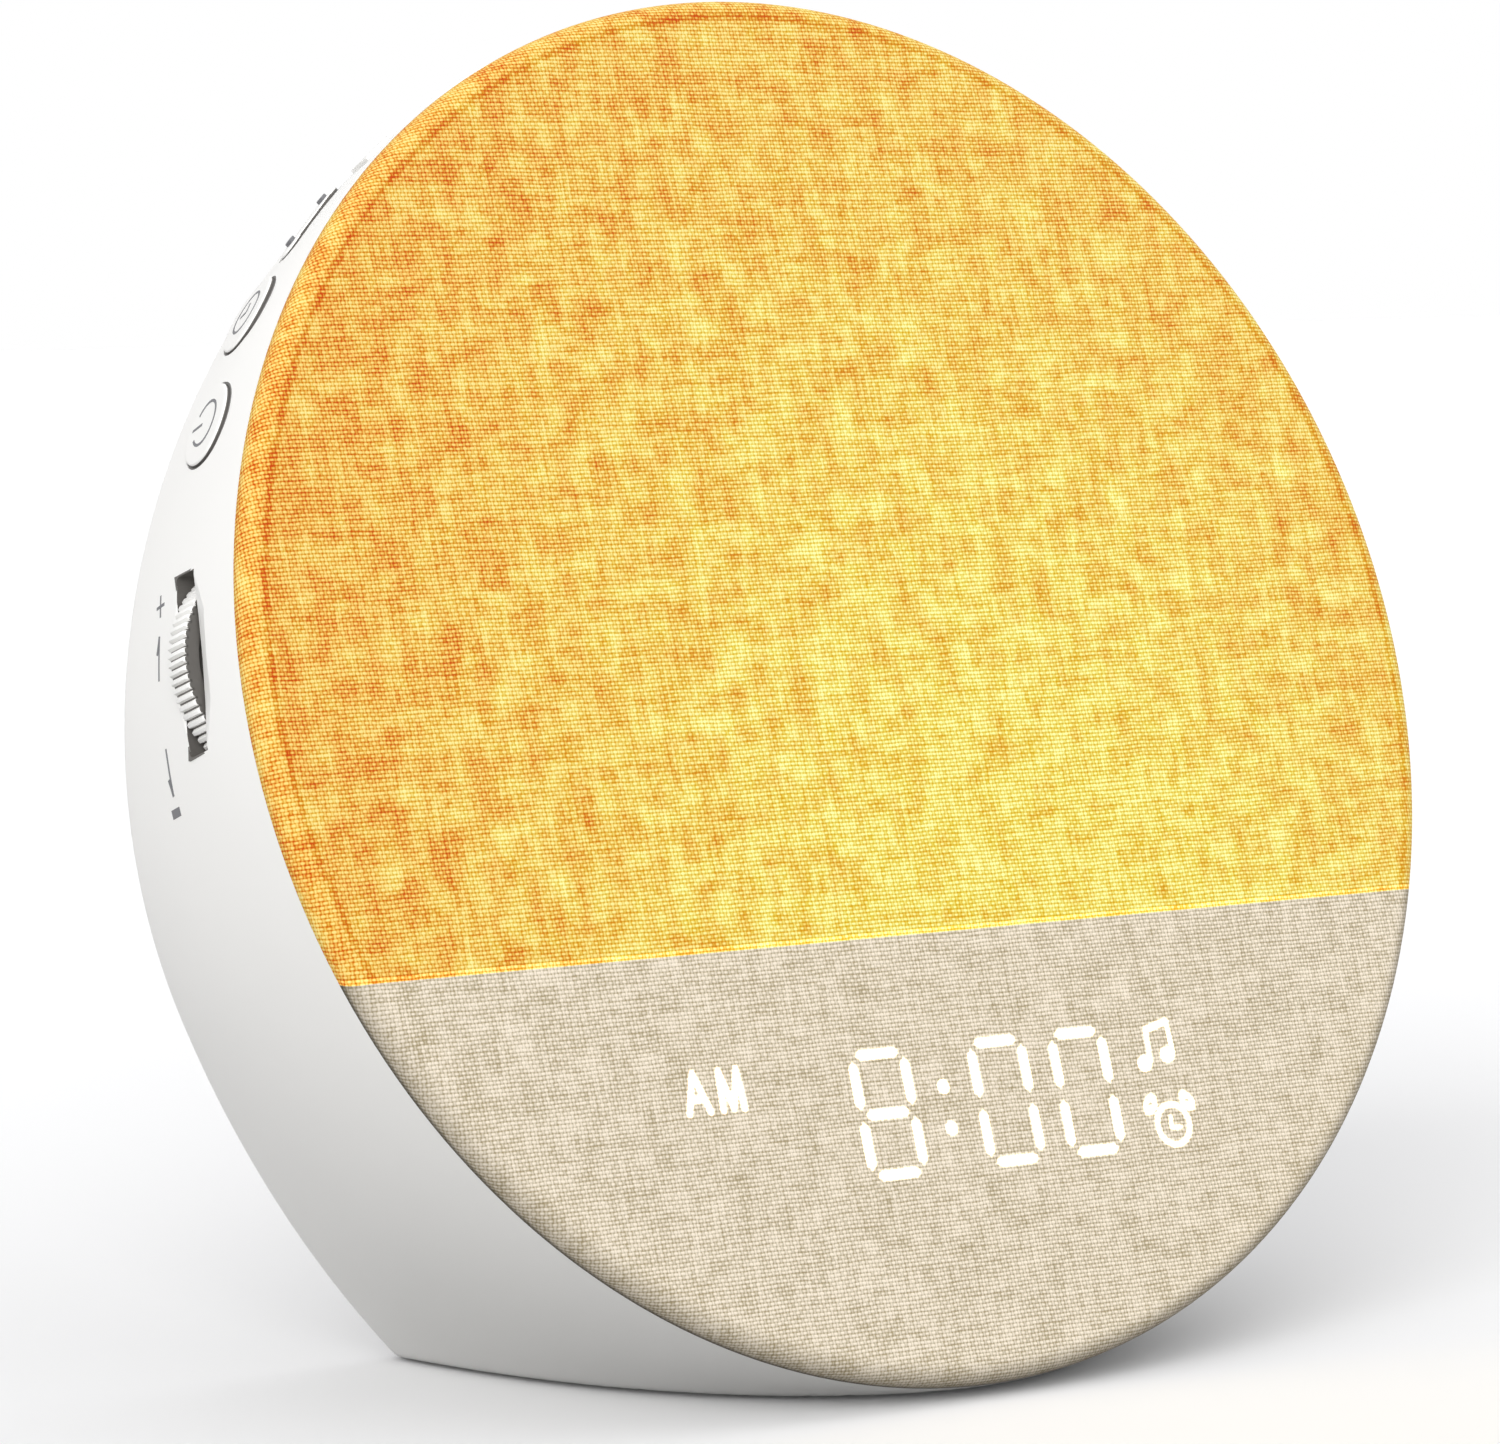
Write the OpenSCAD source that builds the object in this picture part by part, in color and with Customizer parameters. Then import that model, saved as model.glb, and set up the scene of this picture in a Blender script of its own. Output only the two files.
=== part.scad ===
// Sunrise alarm clock: a round, fabric-faced lamp and clock that leans back on a flat foot.
// Two frames are used. Inside face() x runs right, y runs up the face and z comes out of it,
// so a depth behind the fabric is a negative z. Inside upright() y runs to the rear and z up.
// Both have their origin at the centre of the fabric's front.

/* [Face] */
// Diameter of the round fabric face
face_d = 160; // [150:1:176]
// Lean of the face back from the vertical, in degrees
lean = 18.4; // [15:0.2:22]
// Thickness of the stretched fabric
fabric_t = 0.6; // [0.4:0.05:0.8]
// Radius on the edge of the frame that the fabric is pulled over
frame_edge_r = 1.6; // [1:0.1:1.6]
// Distance of the horizon line below the centre of the face
horizon = 29.7; // [26:0.1:33]
// Thickness of the light diffuser and of the display panel
panel_t = 2; // [1.5:0.1:2.4]
// Depth of the light chamber behind the diffuser
chamber_d = 6.2; // [5.6:0.1:6.6]
// Side of one light-emitting diode
led_w = 5; // [3:0.5:6]
// Distance between neighbouring diodes
led_pitch = 22; // [18:1:28]

/* [Display] */
// Distance of the middle of the digits below the centre of the face
digit_drop = 49.2; // [46:0.1:51]
// Distance between the upright strokes of a digit
digit_w = 7; // [6:0.1:7.4]
// Distance from the top stroke of a digit to its middle stroke
digit_h = 6.8; // [6:0.1:7.2]
// Width of a stroke
stroke_w = 1.4; // [1:0.1:1.6]
// Pitch of two neighbouring digits
digit_pitch = 11.5; // [11.2:0.1:12]
// Extra pitch where the colon stands
colon_gap = 5.1; // [4.5:0.1:5.6]
// Place of the last digit to the right of the centre
last_digit_x = 19.2; // [18:0.1:20]

/* [Housing] */
// Thickness of the moulded walls
wall = 2.2; // [1.8:0.1:2.6]
// Distance from the centre of the face back to the shoulder of the rear edge
shoulder_y = 33; // [32:0.5:38]
// Radius of the rounded rear edge
rear_edge_r = 4; // [3:0.5:5]
// Radius of the upper part of the rear outline
rear_r = 76.5; // [74:0.5:80]
// Distance of the middle of the rear outline below the centre of the face
rear_drop = 5.1; // [4:0.1:6]
// Angle below the horizontal where the rear outline starts to straighten
flank_deg = 24.5; // [20:0.5:30]
// Radius of the straighter flanks that run down to the foot
flank_r = 142; // [120:2:180]
// Height of the centre of the face above the flat underside
base_h = 77.7; // [77.7:0.1:84]
// Roundness of the edge of the underside
foot_edge = 0.8; // [0.4:0.1:0.8]
// Width of the lip round the rear cover
lip_w = 7; // [6:0.5:9]
// Width of the shelf that the front frame rests on
shelf_w = 7.4; // [7:0.1:8]
// Thickness of that shelf
shelf_t = 2.5; // [2:0.1:2.6]

/* [Side controls] */
// Direction of the power button from the centre of the face, in degrees
power_deg = 153.7; // [152:0.1:155]
// Direction of the alarm button
alarm_deg = 143.2; // [142.5:0.1:144]
// Depth of both buttons behind the fabric
button_s = 13.8; // [13:0.1:14]
// Diameter of a round button
button_d = 9.6; // [8:0.1:10]
// How far buttons stand out of the wall
button_proud = 0.4; // [0.4:0.1:1]
// Travel of a button
button_travel = 0.5; // [0.3:0.05:0.5]
// Direction of the volume rocker
rocker_deg = 133.5; // [133:0.1:133.8]
// Depth of the rocker behind the fabric
rocker_s = 12.4; // [12:0.1:12.6]
// Length of the rocker
rocker_l = 11; // [9:0.1:11]
// Width of the rocker
rocker_w = 4.2; // [3.6:0.1:4.4]
// Tilt of the rocker each way, in degrees
rocker_tilt = 3; // [2:0.5:3]
// Half the angle that the snooze bar takes along the top, in degrees
snooze_half = 38.6; // [34:0.2:38.6]
// Depth of the front edge of the snooze bar behind the fabric
snooze_s = 5.7; // [5.7:0.05:6]
// Width of the snooze bar
snooze_w = 3.6; // [3:0.1:3.6]
// Travel of the snooze bar
snooze_travel = 0.8; // [0.5:0.1:0.8]

/* [Dimmer] */
// Direction of the middle of the dimmer wheel
wheel_deg = 173.5; // [173:0.1:174.5]
// Depth of the middle of the wheel behind the fabric
wheel_s = 14; // [13.8:0.1:14.6]
// Diameter of the wheel
wheel_d = 25; // [22:0.5:25]
// Thickness of the wheel
wheel_t = 3.4; // [2.8:0.1:3.4]
// How far the wheel stands out of the wall
wheel_proud = 1.4; // [1:0.1:1.8]
// Width of one rib of the wheel and its gap
rib_pitch = 1; // [0.8:0.1:1.4]
// Length of the slot that the wheel looks out of
slot_l = 20; // [19:0.2:21]

/* [Rear] */
// Diameter of the loudspeaker
speaker_d = 45; // [40:1:46]
// Distance of the loudspeaker below the centre of the face
speaker_drop = 43; // [42:0.5:44]
// Bore of the power inlet
inlet_d = 6; // [5.6:0.1:6.4]
// How far the rubber feet stand out of the underside
foot_proud = 0.4; // [0.3:0.1:0.8]
// Diameter of a rubber foot
foot_d = 8; // [6:0.5:9]

/* [Fits] */
// Clearance between a moving piece and the hole it works in
clear = 0.35; // [0.3:0.05:0.4]
// Clearance of a running shaft in its bore
run_fit = 0.05; // [0.03:0.01:0.08]
// Gap between pieces that are fastened to each other
seat = 0.05; // [0.03:0.01:0.1]

/* [Hidden] */

white_plastic = "whitesmoke";
linen = "burlywood";
board_green = "seagreen";
steel = "silver";

ring_n = 120;
face_r = face_d / 2;
sin_l = sin(lean);
cos_l = cos(lean);

// Depths behind the fabric's front, from the front to the rear
frame_s = fabric_t;
flange_t = frame_edge_r;
hem_s = frame_s + flange_t;
seam_s = hem_s + fabric_t;
shelf_s = seam_s + shelf_t;
panel_s = frame_s + panel_t;
ledge_t = 1;
tray_s = panel_s + ledge_t;
tray_floor = 0.8;
tray_end = tray_s + chamber_d;
board_t = 1.6;
led_t = 1.5;
led_board_end = tray_end + board_t;

// Radii about the face's axis
shelf_r = face_r - shelf_w;
spigot_r = shelf_r - 0.2;
spigot_t = 1.9;
spigot_end = shelf_s - 0.3;
hook_n = 8;
hook_s = shelf_s + 0.1;
hook_l = 1.2;
rebate_r = spigot_r - spigot_t - 0.5;
ledge_r = rebate_r - 3;
tray_r = ledge_r - 0.5;
hem_r = spigot_r + 0.4;

partition_t = 1.2;
upper_y = -horizon + partition_t / 2;
lower_y = -horizon - partition_t / 2;

// Rear edge: the arc starts with the slope that the wall has there
edge_start = 12;
rear_y = shoulder_y + rear_edge_r * (1 - sin(edge_start));
ledge_y = rear_y - wall;
ledge_d = 1.6;
inner_y = ledge_y - ledge_d;
floor_z = -base_h;

front_y = -(face_r - frame_edge_r - fabric_t) * sin_l - (frame_edge_r + fabric_t) * (1 - cos_l);
disc_y = -(front_y + rear_y) / 2;
disc_z = base_h + foot_proud;

module face() {
  translate([0, disc_y, disc_z]) rotate([90 - lean, 0, 0]) children();
}
module upright() {
  translate([0, disc_y, disc_z]) children();
}
// A place on the face at depth s, with z still coming out of the face
module at_depth(s) {
  translate([0, 0, -s]) children();
}
// A ring or disc between two depths
module disc(r, s1, s2) {
  at_depth(s2) cylinder(r = r, h = s2 - s1, $fn = 180);
}
// A flat outline between two depths
module plate(s1, s2) {
  at_depth(s2) linear_extrude(s2 - s1) children();
}
// A place on the rim: z points outwards from the face's axis, x to the rear, y round the rim
module on_rim(deg, s) {
  rotate([0, 0, deg]) translate([0, 0, -s]) rotate([0, 90, 0]) children();
}
// An upright outline drawn as x and height, between two distances behind the centre
module upright_plate(y1, y2) {
  translate([0, y2, 0]) rotate([90, 0, 0]) linear_extrude(y2 - y1) children();
}
// A round piece whose axis runs to the rear
module rearward(x, z, y1, y2, r, fn = 48) {
  translate([x, y1, z]) rotate([-90, 0, 0]) cylinder(r = r, h = y2 - y1, $fn = fn);
}

// ---- Shape of the housing wall ----
// The rear outline in polar form about its own centre: a circle above, wide arcs down the flanks.
function rear_rho(a, inset) =
  let (dip = a > 180 ? min(a - 180, 360 - a) : 0)
  let (reach = flank_r - rear_r)
  let (past = dip - flank_deg)
  past <= 0 ? rear_r - inset
  : -reach * cos(past) + sqrt(pow(flank_r - inset, 2) - pow(reach * sin(past), 2));
// Heights near the underside are eased on to it with a small round
function on_floor(z, low) =
  let (d = z - low)
  d >= foot_edge ? z : d <= -foot_edge ? low : low + pow(d + foot_edge, 2) / (4 * foot_edge);
// One point of the wall: it leaves the round front square to the face and draws in to the
// rear outline with the square of the way; st = [way, rearward step, inward step]
function wall_point(a, st, inset) =
  let (fr = face_r - inset)
  let (front = [fr * cos(a), fr * sin(a) * sin_l + seam_s * cos_l, fr * sin(a) * cos_l - seam_s * sin_l])
  let (run = (shoulder_y - front[1]) / cos_l)
  let (straight = front + run * [0, cos_l, -sin_l])
  let (rho = rear_rho(a, inset + st[2]))
  let (rear = [rho * cos(a), shoulder_y, rho * sin(a) - rear_drop])
  let (p = front + st[0] * (straight - front) + pow(st[0], 2) * (rear - straight))
  [p[0], p[1] + st[1], on_floor(p[2], floor_z + max(inset, 0))];
function edge_step(deg) = [1, rear_edge_r * (sin(deg) - sin(edge_start)),
                           rear_edge_r * (cos(edge_start) - cos(deg))];
stations = [for (t = [0, 0.25, 0.5, 0.75, 1]) [t, 0, 0], for (d = [30, 50, 70, 90]) edge_step(d)];

module wall_solid(inset) {
  rows = len(stations);
  points = [for (st = stations) for (i = [0:ring_n - 1]) wall_point(i * 360 / ring_n, st, inset)];
  sides = [
    for (j = [0:rows - 2]) for (i = [0:ring_n - 1])
    let (k = (i + 1) % ring_n)
    each [
      [j * ring_n + i, j * ring_n + k, (j + 1) * ring_n + k],
      [j * ring_n + i, (j + 1) * ring_n + k, (j + 1) * ring_n + i]
    ]
  ];
  front = [[for (i = [0:ring_n - 1]) ring_n - 1 - i]];
  rear = [[for (i = [0:ring_n - 1]) (rows - 1) * ring_n + i]];
  translate([0, disc_y, disc_z]) polyhedron(points, concat(sides, front, rear));
}
// The rear outline drawn in by a distance, as x and height
module rear_outline(inset) {
  low = floor_z + inset;
  polygon([for (i = [0:ring_n - 1])
    let (a = i * 360 / ring_n)
    let (rho = rear_rho(a, inset))
    [rho * cos(a), max(rho * sin(a) - rear_drop, low)]]);
}

// ---- Front: fabric, frame, diffuser and light chamber ----
// Points of the rounded front edge about its centre, from the front round to the side
function edge_arc(edge) =
  [for (a = [90:-15:0]) [face_r - fabric_t - frame_edge_r + edge * cos(a), edge * sin(a) - hem_s]];
module fabric_cover() {
  color(linen) face() rotate_extrude($fn = 180) polygon(concat(
    [[0, 0]], edge_arc(frame_edge_r + fabric_t),
    [[face_r, -seam_s], [hem_r, -seam_s], [hem_r, -hem_s]],
    [for (k = [6:-1:0]) edge_arc(frame_edge_r)[k]], [[0, -fabric_t]]
  ));
}
module front_frame() {
  color(white_plastic) face() {
    rotate_extrude($fn = 180) polygon(concat(
      [[rebate_r, -frame_s]], edge_arc(frame_edge_r),
      [
        [spigot_r, -hem_s], [spigot_r, -spigot_end], [spigot_r - spigot_t, -spigot_end],
        [spigot_r - spigot_t, -tray_s], [ledge_r, -tray_s], [ledge_r, -panel_s], [rebate_r, -panel_s]
      ]
    ));
    for (k = [0:hook_n - 1]) rotate([0, 0, k * 360 / hook_n]) snap_hook();
  }
}
// A springy hook that grips behind the shelf of the housing
module snap_hook() {
  width = 4;
  half = atan2(width / 2, spigot_r);
  back = hook_s + hook_l;
  rotate([0, 0, -half]) rotate_extrude(angle = 2 * half, $fn = 180) polygon([
    [spigot_r - spigot_t + 0.3, 0.5 - spigot_end], [spigot_r - 0.2, 0.5 - spigot_end],
    [spigot_r - 0.2, -hook_s], [spigot_r + hook_l, -hook_s], [spigot_r, -back],
    [spigot_r - spigot_t + 0.3, -back]
  ]);
}
// The part of the face above or below the horizon, as a flat outline
module above(r, low) {
  intersection() {
    circle(r, $fn = 180);
    translate([-r, low]) square([2 * r, r - low]);
  }
}
module below(r, high) {
  intersection() {
    circle(r, $fn = 180);
    translate([-r, -r]) square([2 * r, high + r]);
  }
}
module light_diffuser() {
  color("moccasin") face() plate(frame_s, panel_s) above(rebate_r - seat, upper_y + seat);
}
partition_half = sqrt(pow(ledge_r - 0.3, 2) - pow(horizon + partition_t / 2, 2));
module light_partition() {
  color("black") face() plate(frame_s, led_board_end)
    translate([-partition_half, lower_y]) square([2 * partition_half, partition_t]);
}

led_rows = 4;
led_row_h = 19;
led_low = 13;
function led_x(j, k) = (k - (j % 2 == 0 ? 2 : 2.5)) * led_pitch;
function led_y(j) = upper_y + led_low + j * led_row_h;
led_places = [
  for (j = [0:led_rows - 1]) for (k = [0:5])
  if (norm([led_x(j, k), led_y(j)]) < tray_r - 10) [led_x(j, k), led_y(j)]
];
tray_bosses = [for (sx = [-1, 1]) for (j = [0, 2]) [sx * 1.5 * led_pitch, led_y(j) + led_row_h / 2]];
boss_r = 2.2;
screw_r = 1;
screw_head_r = 1.9;
screw_head_h = 1.3;
tray_wall = 1.2;
tray_rim_t = 1;
boss_h = 2.6;

module reflector_tray() {
  color("white") face() {
    difference() {
      union() {
        plate(tray_s, tray_end) above(tray_r, upper_y);
        plate(tray_s, tray_s + tray_rim_t) above(spigot_r - spigot_t - 0.1, upper_y);
      }
      plate(tray_s - 1, tray_end - tray_floor) above(tray_r - tray_wall, upper_y + tray_wall);
      plate(tray_end - tray_floor - 1, tray_end + 1) {
        for (p = led_places) translate(p) square(led_w + 0.6, center = true);
        for (p = tray_bosses) translate(p) circle(boss_r - 0.2, $fn = 32);
      }
    }
    plate(tray_end - boss_h, tray_end) for (p = tray_bosses) translate(p) difference() {
      circle(boss_r, $fn = 32);
      circle(screw_r + seat, $fn = 24);
    }
  }
}
module led_board() {
  color(board_green) face() plate(tray_end, led_board_end) difference() {
    above(tray_r - 0.5, upper_y + 0.3);
    for (p = tray_bosses) translate(p) circle(screw_r + 0.2, $fn = 24);
  }
}
module leds() {
  color("lightyellow") face() plate(tray_end - led_t, tray_end)
    for (p = led_places) translate(p) square(led_w, center = true);
}
// A pan-head screw whose head lies on the plane z = 0 and whose shank goes up from it
module screw(length) {
  translate([0, 0, -screw_head_h]) cylinder(r = screw_head_r, h = screw_head_h, $fn = 32);
  cylinder(r = screw_r, h = length, $fn = 24);
}
module led_board_screws() {
  color(steel) face() at_depth(led_board_end)
    for (p = tray_bosses) translate(p) screw(board_t + boss_h - 0.4);
}

// ---- Front: display ----
display_s = panel_s + 5.4;
display_end = display_s + board_t;
module_margin = 1.6;
stroke_gap_x = 0.8;
stroke_gap_y = 1.5;
digit_x = [
  last_digit_x - 3 * digit_pitch - colon_gap, last_digit_x - 2 * digit_pitch - colon_gap,
  last_digit_x - digit_pitch, last_digit_x
];
colon_x = (digit_x[1] + digit_x[2]) / 2;
colon_r = 0.8;
colon_h = 2.4;
guide_t = 4;
// Centres and sizes of the windows of the morning mark, the music mark and the alarm mark
icon_places = [[-31.6, -44.6], [31, -44.4], [30.4, -53.4]];
icon_sizes = [[9.6, 6.6], [8, 7], [8.6, 7.4]];
post_places = [for (sx = [-1, 1]) for (p = [[39, -37], [18, -61.3]]) [sx * p[0], p[1]]];

// One stroke of a digit with pointed ends
module stroke(length, width) {
  polygon([
    [-length / 2, 0], [-length / 2 + width / 2, width / 2], [length / 2 - width / 2, width / 2],
    [length / 2, 0], [length / 2 - width / 2, -width / 2], [-length / 2 + width / 2, -width / 2]
  ]);
}
module digit_strokes(trim) {
  for (k = [-1, 0, 1])
    translate([0, k * digit_h]) stroke(digit_w - stroke_gap_x - trim, stroke_w - trim);
  for (sx = [-1, 1]) for (sy = [-1, 1]) translate([sx * digit_w / 2, sy * digit_h / 2])
    rotate(90) stroke(digit_h - stroke_gap_y - trim, stroke_w - trim);
}
module all_strokes(trim) {
  translate([0, -digit_drop]) {
    for (x = digit_x) translate([x, 0]) digit_strokes(trim);
    for (sy = [-1, 1]) translate([colon_x, sy * colon_h]) circle(colon_r - trim / 2, $fn = 24);
  }
}
module module_outline(grow) {
  half_h = digit_h + stroke_w / 2 + module_margin + grow;
  left = digit_x[0] - digit_w / 2 - module_margin - grow;
  right = digit_x[3] + digit_w / 2 + module_margin + grow;
  translate([left, -digit_drop - half_h]) square([right - left, 2 * half_h]);
}
module icon_outlines(grow) {
  for (k = [0:2])
    translate(icon_places[k]) square(icon_sizes[k] + [2 * grow, 2 * grow], center = true);
}
module display_panel() {
  color("dimgray") face() {
    plate(frame_s, panel_s) difference() {
      below(rebate_r - seat, lower_y - seat);
      module_outline(seat);
      icon_outlines(seat);
    }
    plate(panel_s, display_s) for (p = post_places) translate(p) difference() {
      circle(boss_r, $fn = 32);
      circle(screw_r + seat, $fn = 24);
    }
  }
}
module digit_module() {
  color("black") face() difference() {
    plate(frame_s, display_s) module_outline(0);
    plate(frame_s - 1, frame_s + guide_t) all_strokes(0);
  }
}
module digit_segments() {
  color("white") face() plate(frame_s, frame_s + guide_t) all_strokes(2 * seat);
}
module icon_windows() {
  color("ghostwhite") face() plate(frame_s, display_s) icon_outlines(0);
}
module display_board() {
  color(board_green) face() plate(display_s, display_end) difference() {
    below(ledge_r - 0.5, lower_y - 0.3);
    for (p = post_places) translate(p) circle(screw_r + 0.2, $fn = 24);
  }
}
module display_board_screws() {
  color(steel) face() at_depth(display_end)
    for (p = post_places) translate(p) screw(board_t + 4);
}

// ---- Side controls ----
// A band round the top of the wall between two radii and two depths
module band(r1, r2, s1, s2, half) {
  rotate([0, 0, 90 - half]) rotate_extrude(angle = 2 * half, $fn = 180)
    translate([r1, -s2]) square([r2 - r1, s2 - s1]);
}
button_r = button_d / 2;
retainer = 1.1;
retainer_r = button_r + retainer;
inner_r = face_r - wall;
stem_r = 2;
plunger_r = 1.7;
switch_w = 6;
switch_h = 3.5;
switch_t = 3.8;
switch_bore = 1.5;
switch_top = face_r - 7;
press_gap = 0.1;
// The control board lies behind the snooze bar's switches and in front of the others
control_s = snooze_s + snooze_w / 2 + switch_t / 2;
control_t = 1.2;
control_end = control_s + control_t;
switch_s = control_end + switch_t / 2;
control_in = tray_r + 0.7;
control_out = shelf_r;
control_from = 37;
control_to = 158.5;
control_posts = [40, 138.1, 157.8];
control_post_r = 1.4;
control_post_at = shelf_r + 1.5;
post_head_h = 1;
ear_r = 2.3;

// A switch body with its bore, seen with z along the push and its top on the plane z = 0
module switch_body() {
  difference() {
    translate([-switch_t / 2, -switch_w / 2, -switch_h]) cube([switch_t, switch_w, switch_h]);
    translate([0, 0, -switch_bore]) cylinder(r = plunger_r + clear / 2, h = switch_bore + 1, $fn = 32);
  }
}
// The plunger of a switch, from the end of the stem that presses it
module plunger(travel) {
  translate([0, 0, -switch_bore + travel + 0.1])
    cylinder(r = plunger_r, h = switch_bore + press_gap - 0.1, $fn = 32);
}
// Where the stems of the round buttons and of the rocker press, with z outwards
module under_button(deg) {
  face() on_rim(deg, switch_s) translate([0, 0, switch_top]) children();
}
rocker_reach = 3.9;
rocker_switch_top = switch_top - 0.6;
module under_rocker() {
  for (sy = [-1, 1]) face() on_rim(rocker_deg, switch_s)
    translate([0, sy * rocker_reach, rocker_switch_top]) children();
}
snooze_x = 24;
snooze_switch_top = 69.2;
module under_snooze() {
  for (sx = [-1, 1]) face() translate([sx * snooze_x, snooze_switch_top, -(control_s - switch_t / 2)])
    rotate([-90, 0, 0]) rotate([0, 0, 90]) children();
}

// Distance of the wall's outside from the face's axis, in one direction at one depth
function wall_depth(a, t) =
  let (p = wall_point(a, [t, 0, 0], 0))
  [norm([p[0], p[1] * sin_l + p[2] * cos_l]), p[1] * cos_l - p[2] * sin_l];
function wall_r(a, s) =
  let (run = (shoulder_y - face_r * sin(a) * sin_l) / cos_l - seam_s)
  let (t = (s - seam_s) / run)
  wall_depth(a, t + (s - wall_depth(a, t)[1]) / run)[0];
// A cone that follows the wall near one place, a distance inside it
module wall_cone(a, s, half, inset) {
  r = wall_r(a, s) - inset;
  slope = wall_r(a, s + 1) - wall_r(a, s);
  face() at_depth(s + half)
    cylinder(r1 = r + slope * half, r2 = r - slope * half, h = 2 * half, $fn = 180);
}
module round_button(deg) {
  intersection() {
    wall_cone(deg, button_s, button_r + retainer, -button_proud);
    face() on_rim(deg, button_s) translate([0, 0, inner_r - 2.6]) cylinder(r = button_r, h = 8, $fn = 96);
  }
  intersection() {
    wall_cone(deg, button_s, button_r + retainer / 3, wall + clear);
    face() on_rim(deg, button_s) translate([0, 0, inner_r - 3]) cylinder(r = retainer_r, h = 5, $fn = 96);
    behind(control_end + post_head_h + clear / 2);
    in_front_of(inner_y - clear);
  }
  under_button(deg) translate([0, 0, button_travel + press_gap])
    cylinder(r = stem_r, h = inner_r - 2.5 - switch_top - button_travel - press_gap, $fn = 32);
}
module power_button() {
  color(white_plastic) round_button(power_deg);
}
module alarm_button() {
  color(white_plastic) round_button(alarm_deg);
}
module power_plunger() {
  color("black") under_button(power_deg) plunger(button_travel);
}
module alarm_plunger() {
  color("black") under_button(alarm_deg) plunger(button_travel);
}

pin_r = 1;
pivot_r = face_r - 4.8;
lug_r = 2.2;
rocker_lift = rocker_reach * sin(rocker_tilt);
rocker_under = face_r - 4;
ear_gap = 0.4;
ear_t = 1.1;
ear_h = 4.4;
// A bar with round ends, length along y
module round_bar(w, l) {
  union() {
    square([w, l - w], center = true);
    for (sy = [-1, 1]) translate([0, sy * (l - w) / 2]) circle(w / 2, $fn = 48);
  }
}
module volume_rocker() {
  color(white_plastic) {
    intersection() {
      wall_cone(rocker_deg, rocker_s, rocker_w / 2 + clear, -button_proud);
      face() on_rim(rocker_deg, rocker_s) translate([0, 0, rocker_under]) difference() {
        linear_extrude(8) round_bar(rocker_w, rocker_l);
        translate([0, 0, pivot_r - rocker_under]) rotate([0, 90, 0])
          cylinder(r = pin_r + run_fit, h = rocker_w + 1, center = true, $fn = 32);
      }
    }
    face() on_rim(rocker_deg, rocker_s) translate([0, 0, pivot_r]) rotate([0, 90, 0]) difference() {
      cylinder(r = lug_r, h = rocker_w, center = true, $fn = 48);
      cylinder(r = pin_r + run_fit, h = rocker_w + 1, center = true, $fn = 32);
    }
    under_rocker() translate([0, 0, rocker_lift + press_gap])
      cylinder(r = 1, h = rocker_under - rocker_switch_top - rocker_lift + 0.4, $fn = 24);
    for (sy = [-1, 1]) intersection() {
      wall_cone(rocker_deg, rocker_s, rocker_w / 2 + clear, -button_proud - 0.4);
      face() on_rim(rocker_deg, rocker_s) translate([0, sy * (rocker_l / 2 - 2), rocker_under])
        linear_extrude(8) rotate(90) round_bar(0.9, 1.7);
    }
  }
}
module rocker_plungers() {
  color("black") under_rocker() translate([0, 0, -switch_bore + rocker_lift + 0.1])
    cylinder(r = plunger_r - 0.4, h = switch_bore + press_gap - 0.1, $fn = 32);
}
module pin_space(r, length) {
  face() on_rim(rocker_deg, rocker_s) translate([0, 0, pivot_r]) rotate([0, 90, 0])
    cylinder(r = r, h = length, center = true, $fn = 32);
}
pin_l = rocker_w + 2 * (ear_gap + ear_t) - 0.2;
module rocker_pin() {
  color(steel) pin_space(pin_r, pin_l);
}

snooze_in = face_r - 4.8;
snooze_tab = 2.2;
module snooze_bar() {
  color(white_plastic) {
    intersection() {
      wall_solid(-button_proud);
      face() band(snooze_in, face_r + 4, snooze_s, snooze_s + snooze_w, snooze_half);
    }
    intersection() {
      wall_solid(wall + clear);
      face() band(snooze_in, face_r, snooze_s, snooze_s + snooze_w, snooze_half + snooze_tab);
    }
    under_snooze() translate([0, 0, snooze_travel + press_gap])
      cylinder(r = stem_r - 0.3, h = snooze_stem, $fn = 32);
  }
}
snooze_stem = sqrt(pow(snooze_in + 0.6, 2) - pow(snooze_x, 2)) - snooze_switch_top - snooze_travel;
module snooze_plungers() {
  color("black") under_snooze() plunger(snooze_travel);
}

module button_board() {
  color(board_green) face() plate(control_s, control_end) difference() {
    intersection() {
      difference() {
        union() {
          circle(control_out, $fn = 180);
          for (a = control_posts) rotate(a) translate([control_post_at, 0]) circle(ear_r, $fn = 32);
        }
        circle(control_in, $fn = 180);
      }
      circle(control_out + 1.9, $fn = 180);
      fan(control_from, control_to, face_r + 5);
    }
    for (a = control_posts) rotate(a) translate([control_post_at, 0]) circle(screw_r - 0.2, $fn = 24);
  }
}
// A fan-shaped outline between two directions
module fan(from, to, r) {
  mid = (from + to) / 2;
  polygon([[0, 0], r * [cos(from), sin(from)], 2 * r * [cos((from + mid) / 2), sin((from + mid) / 2)],
    2 * r * [cos((to + mid) / 2), sin((to + mid) / 2)], r * [cos(to), sin(to)]]);
}
module switch_bodies() {
  color("darkslategray") {
    under_button(power_deg) switch_body();
    under_button(alarm_deg) switch_body();
    under_rocker() switch_body();
    under_snooze() switch_body();
  }
}
module button_board_screws() {
  color(steel) face() at_depth(control_end) for (a = control_posts)
    rotate(a) translate([control_post_at, 0, 0]) {
      translate([0, 0, -post_head_h]) cylinder(r = 1.1, h = post_head_h, $fn = 24);
      cylinder(r = screw_r - 0.25, h = control_t + 2.4, $fn = 24);
    }
}

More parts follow.
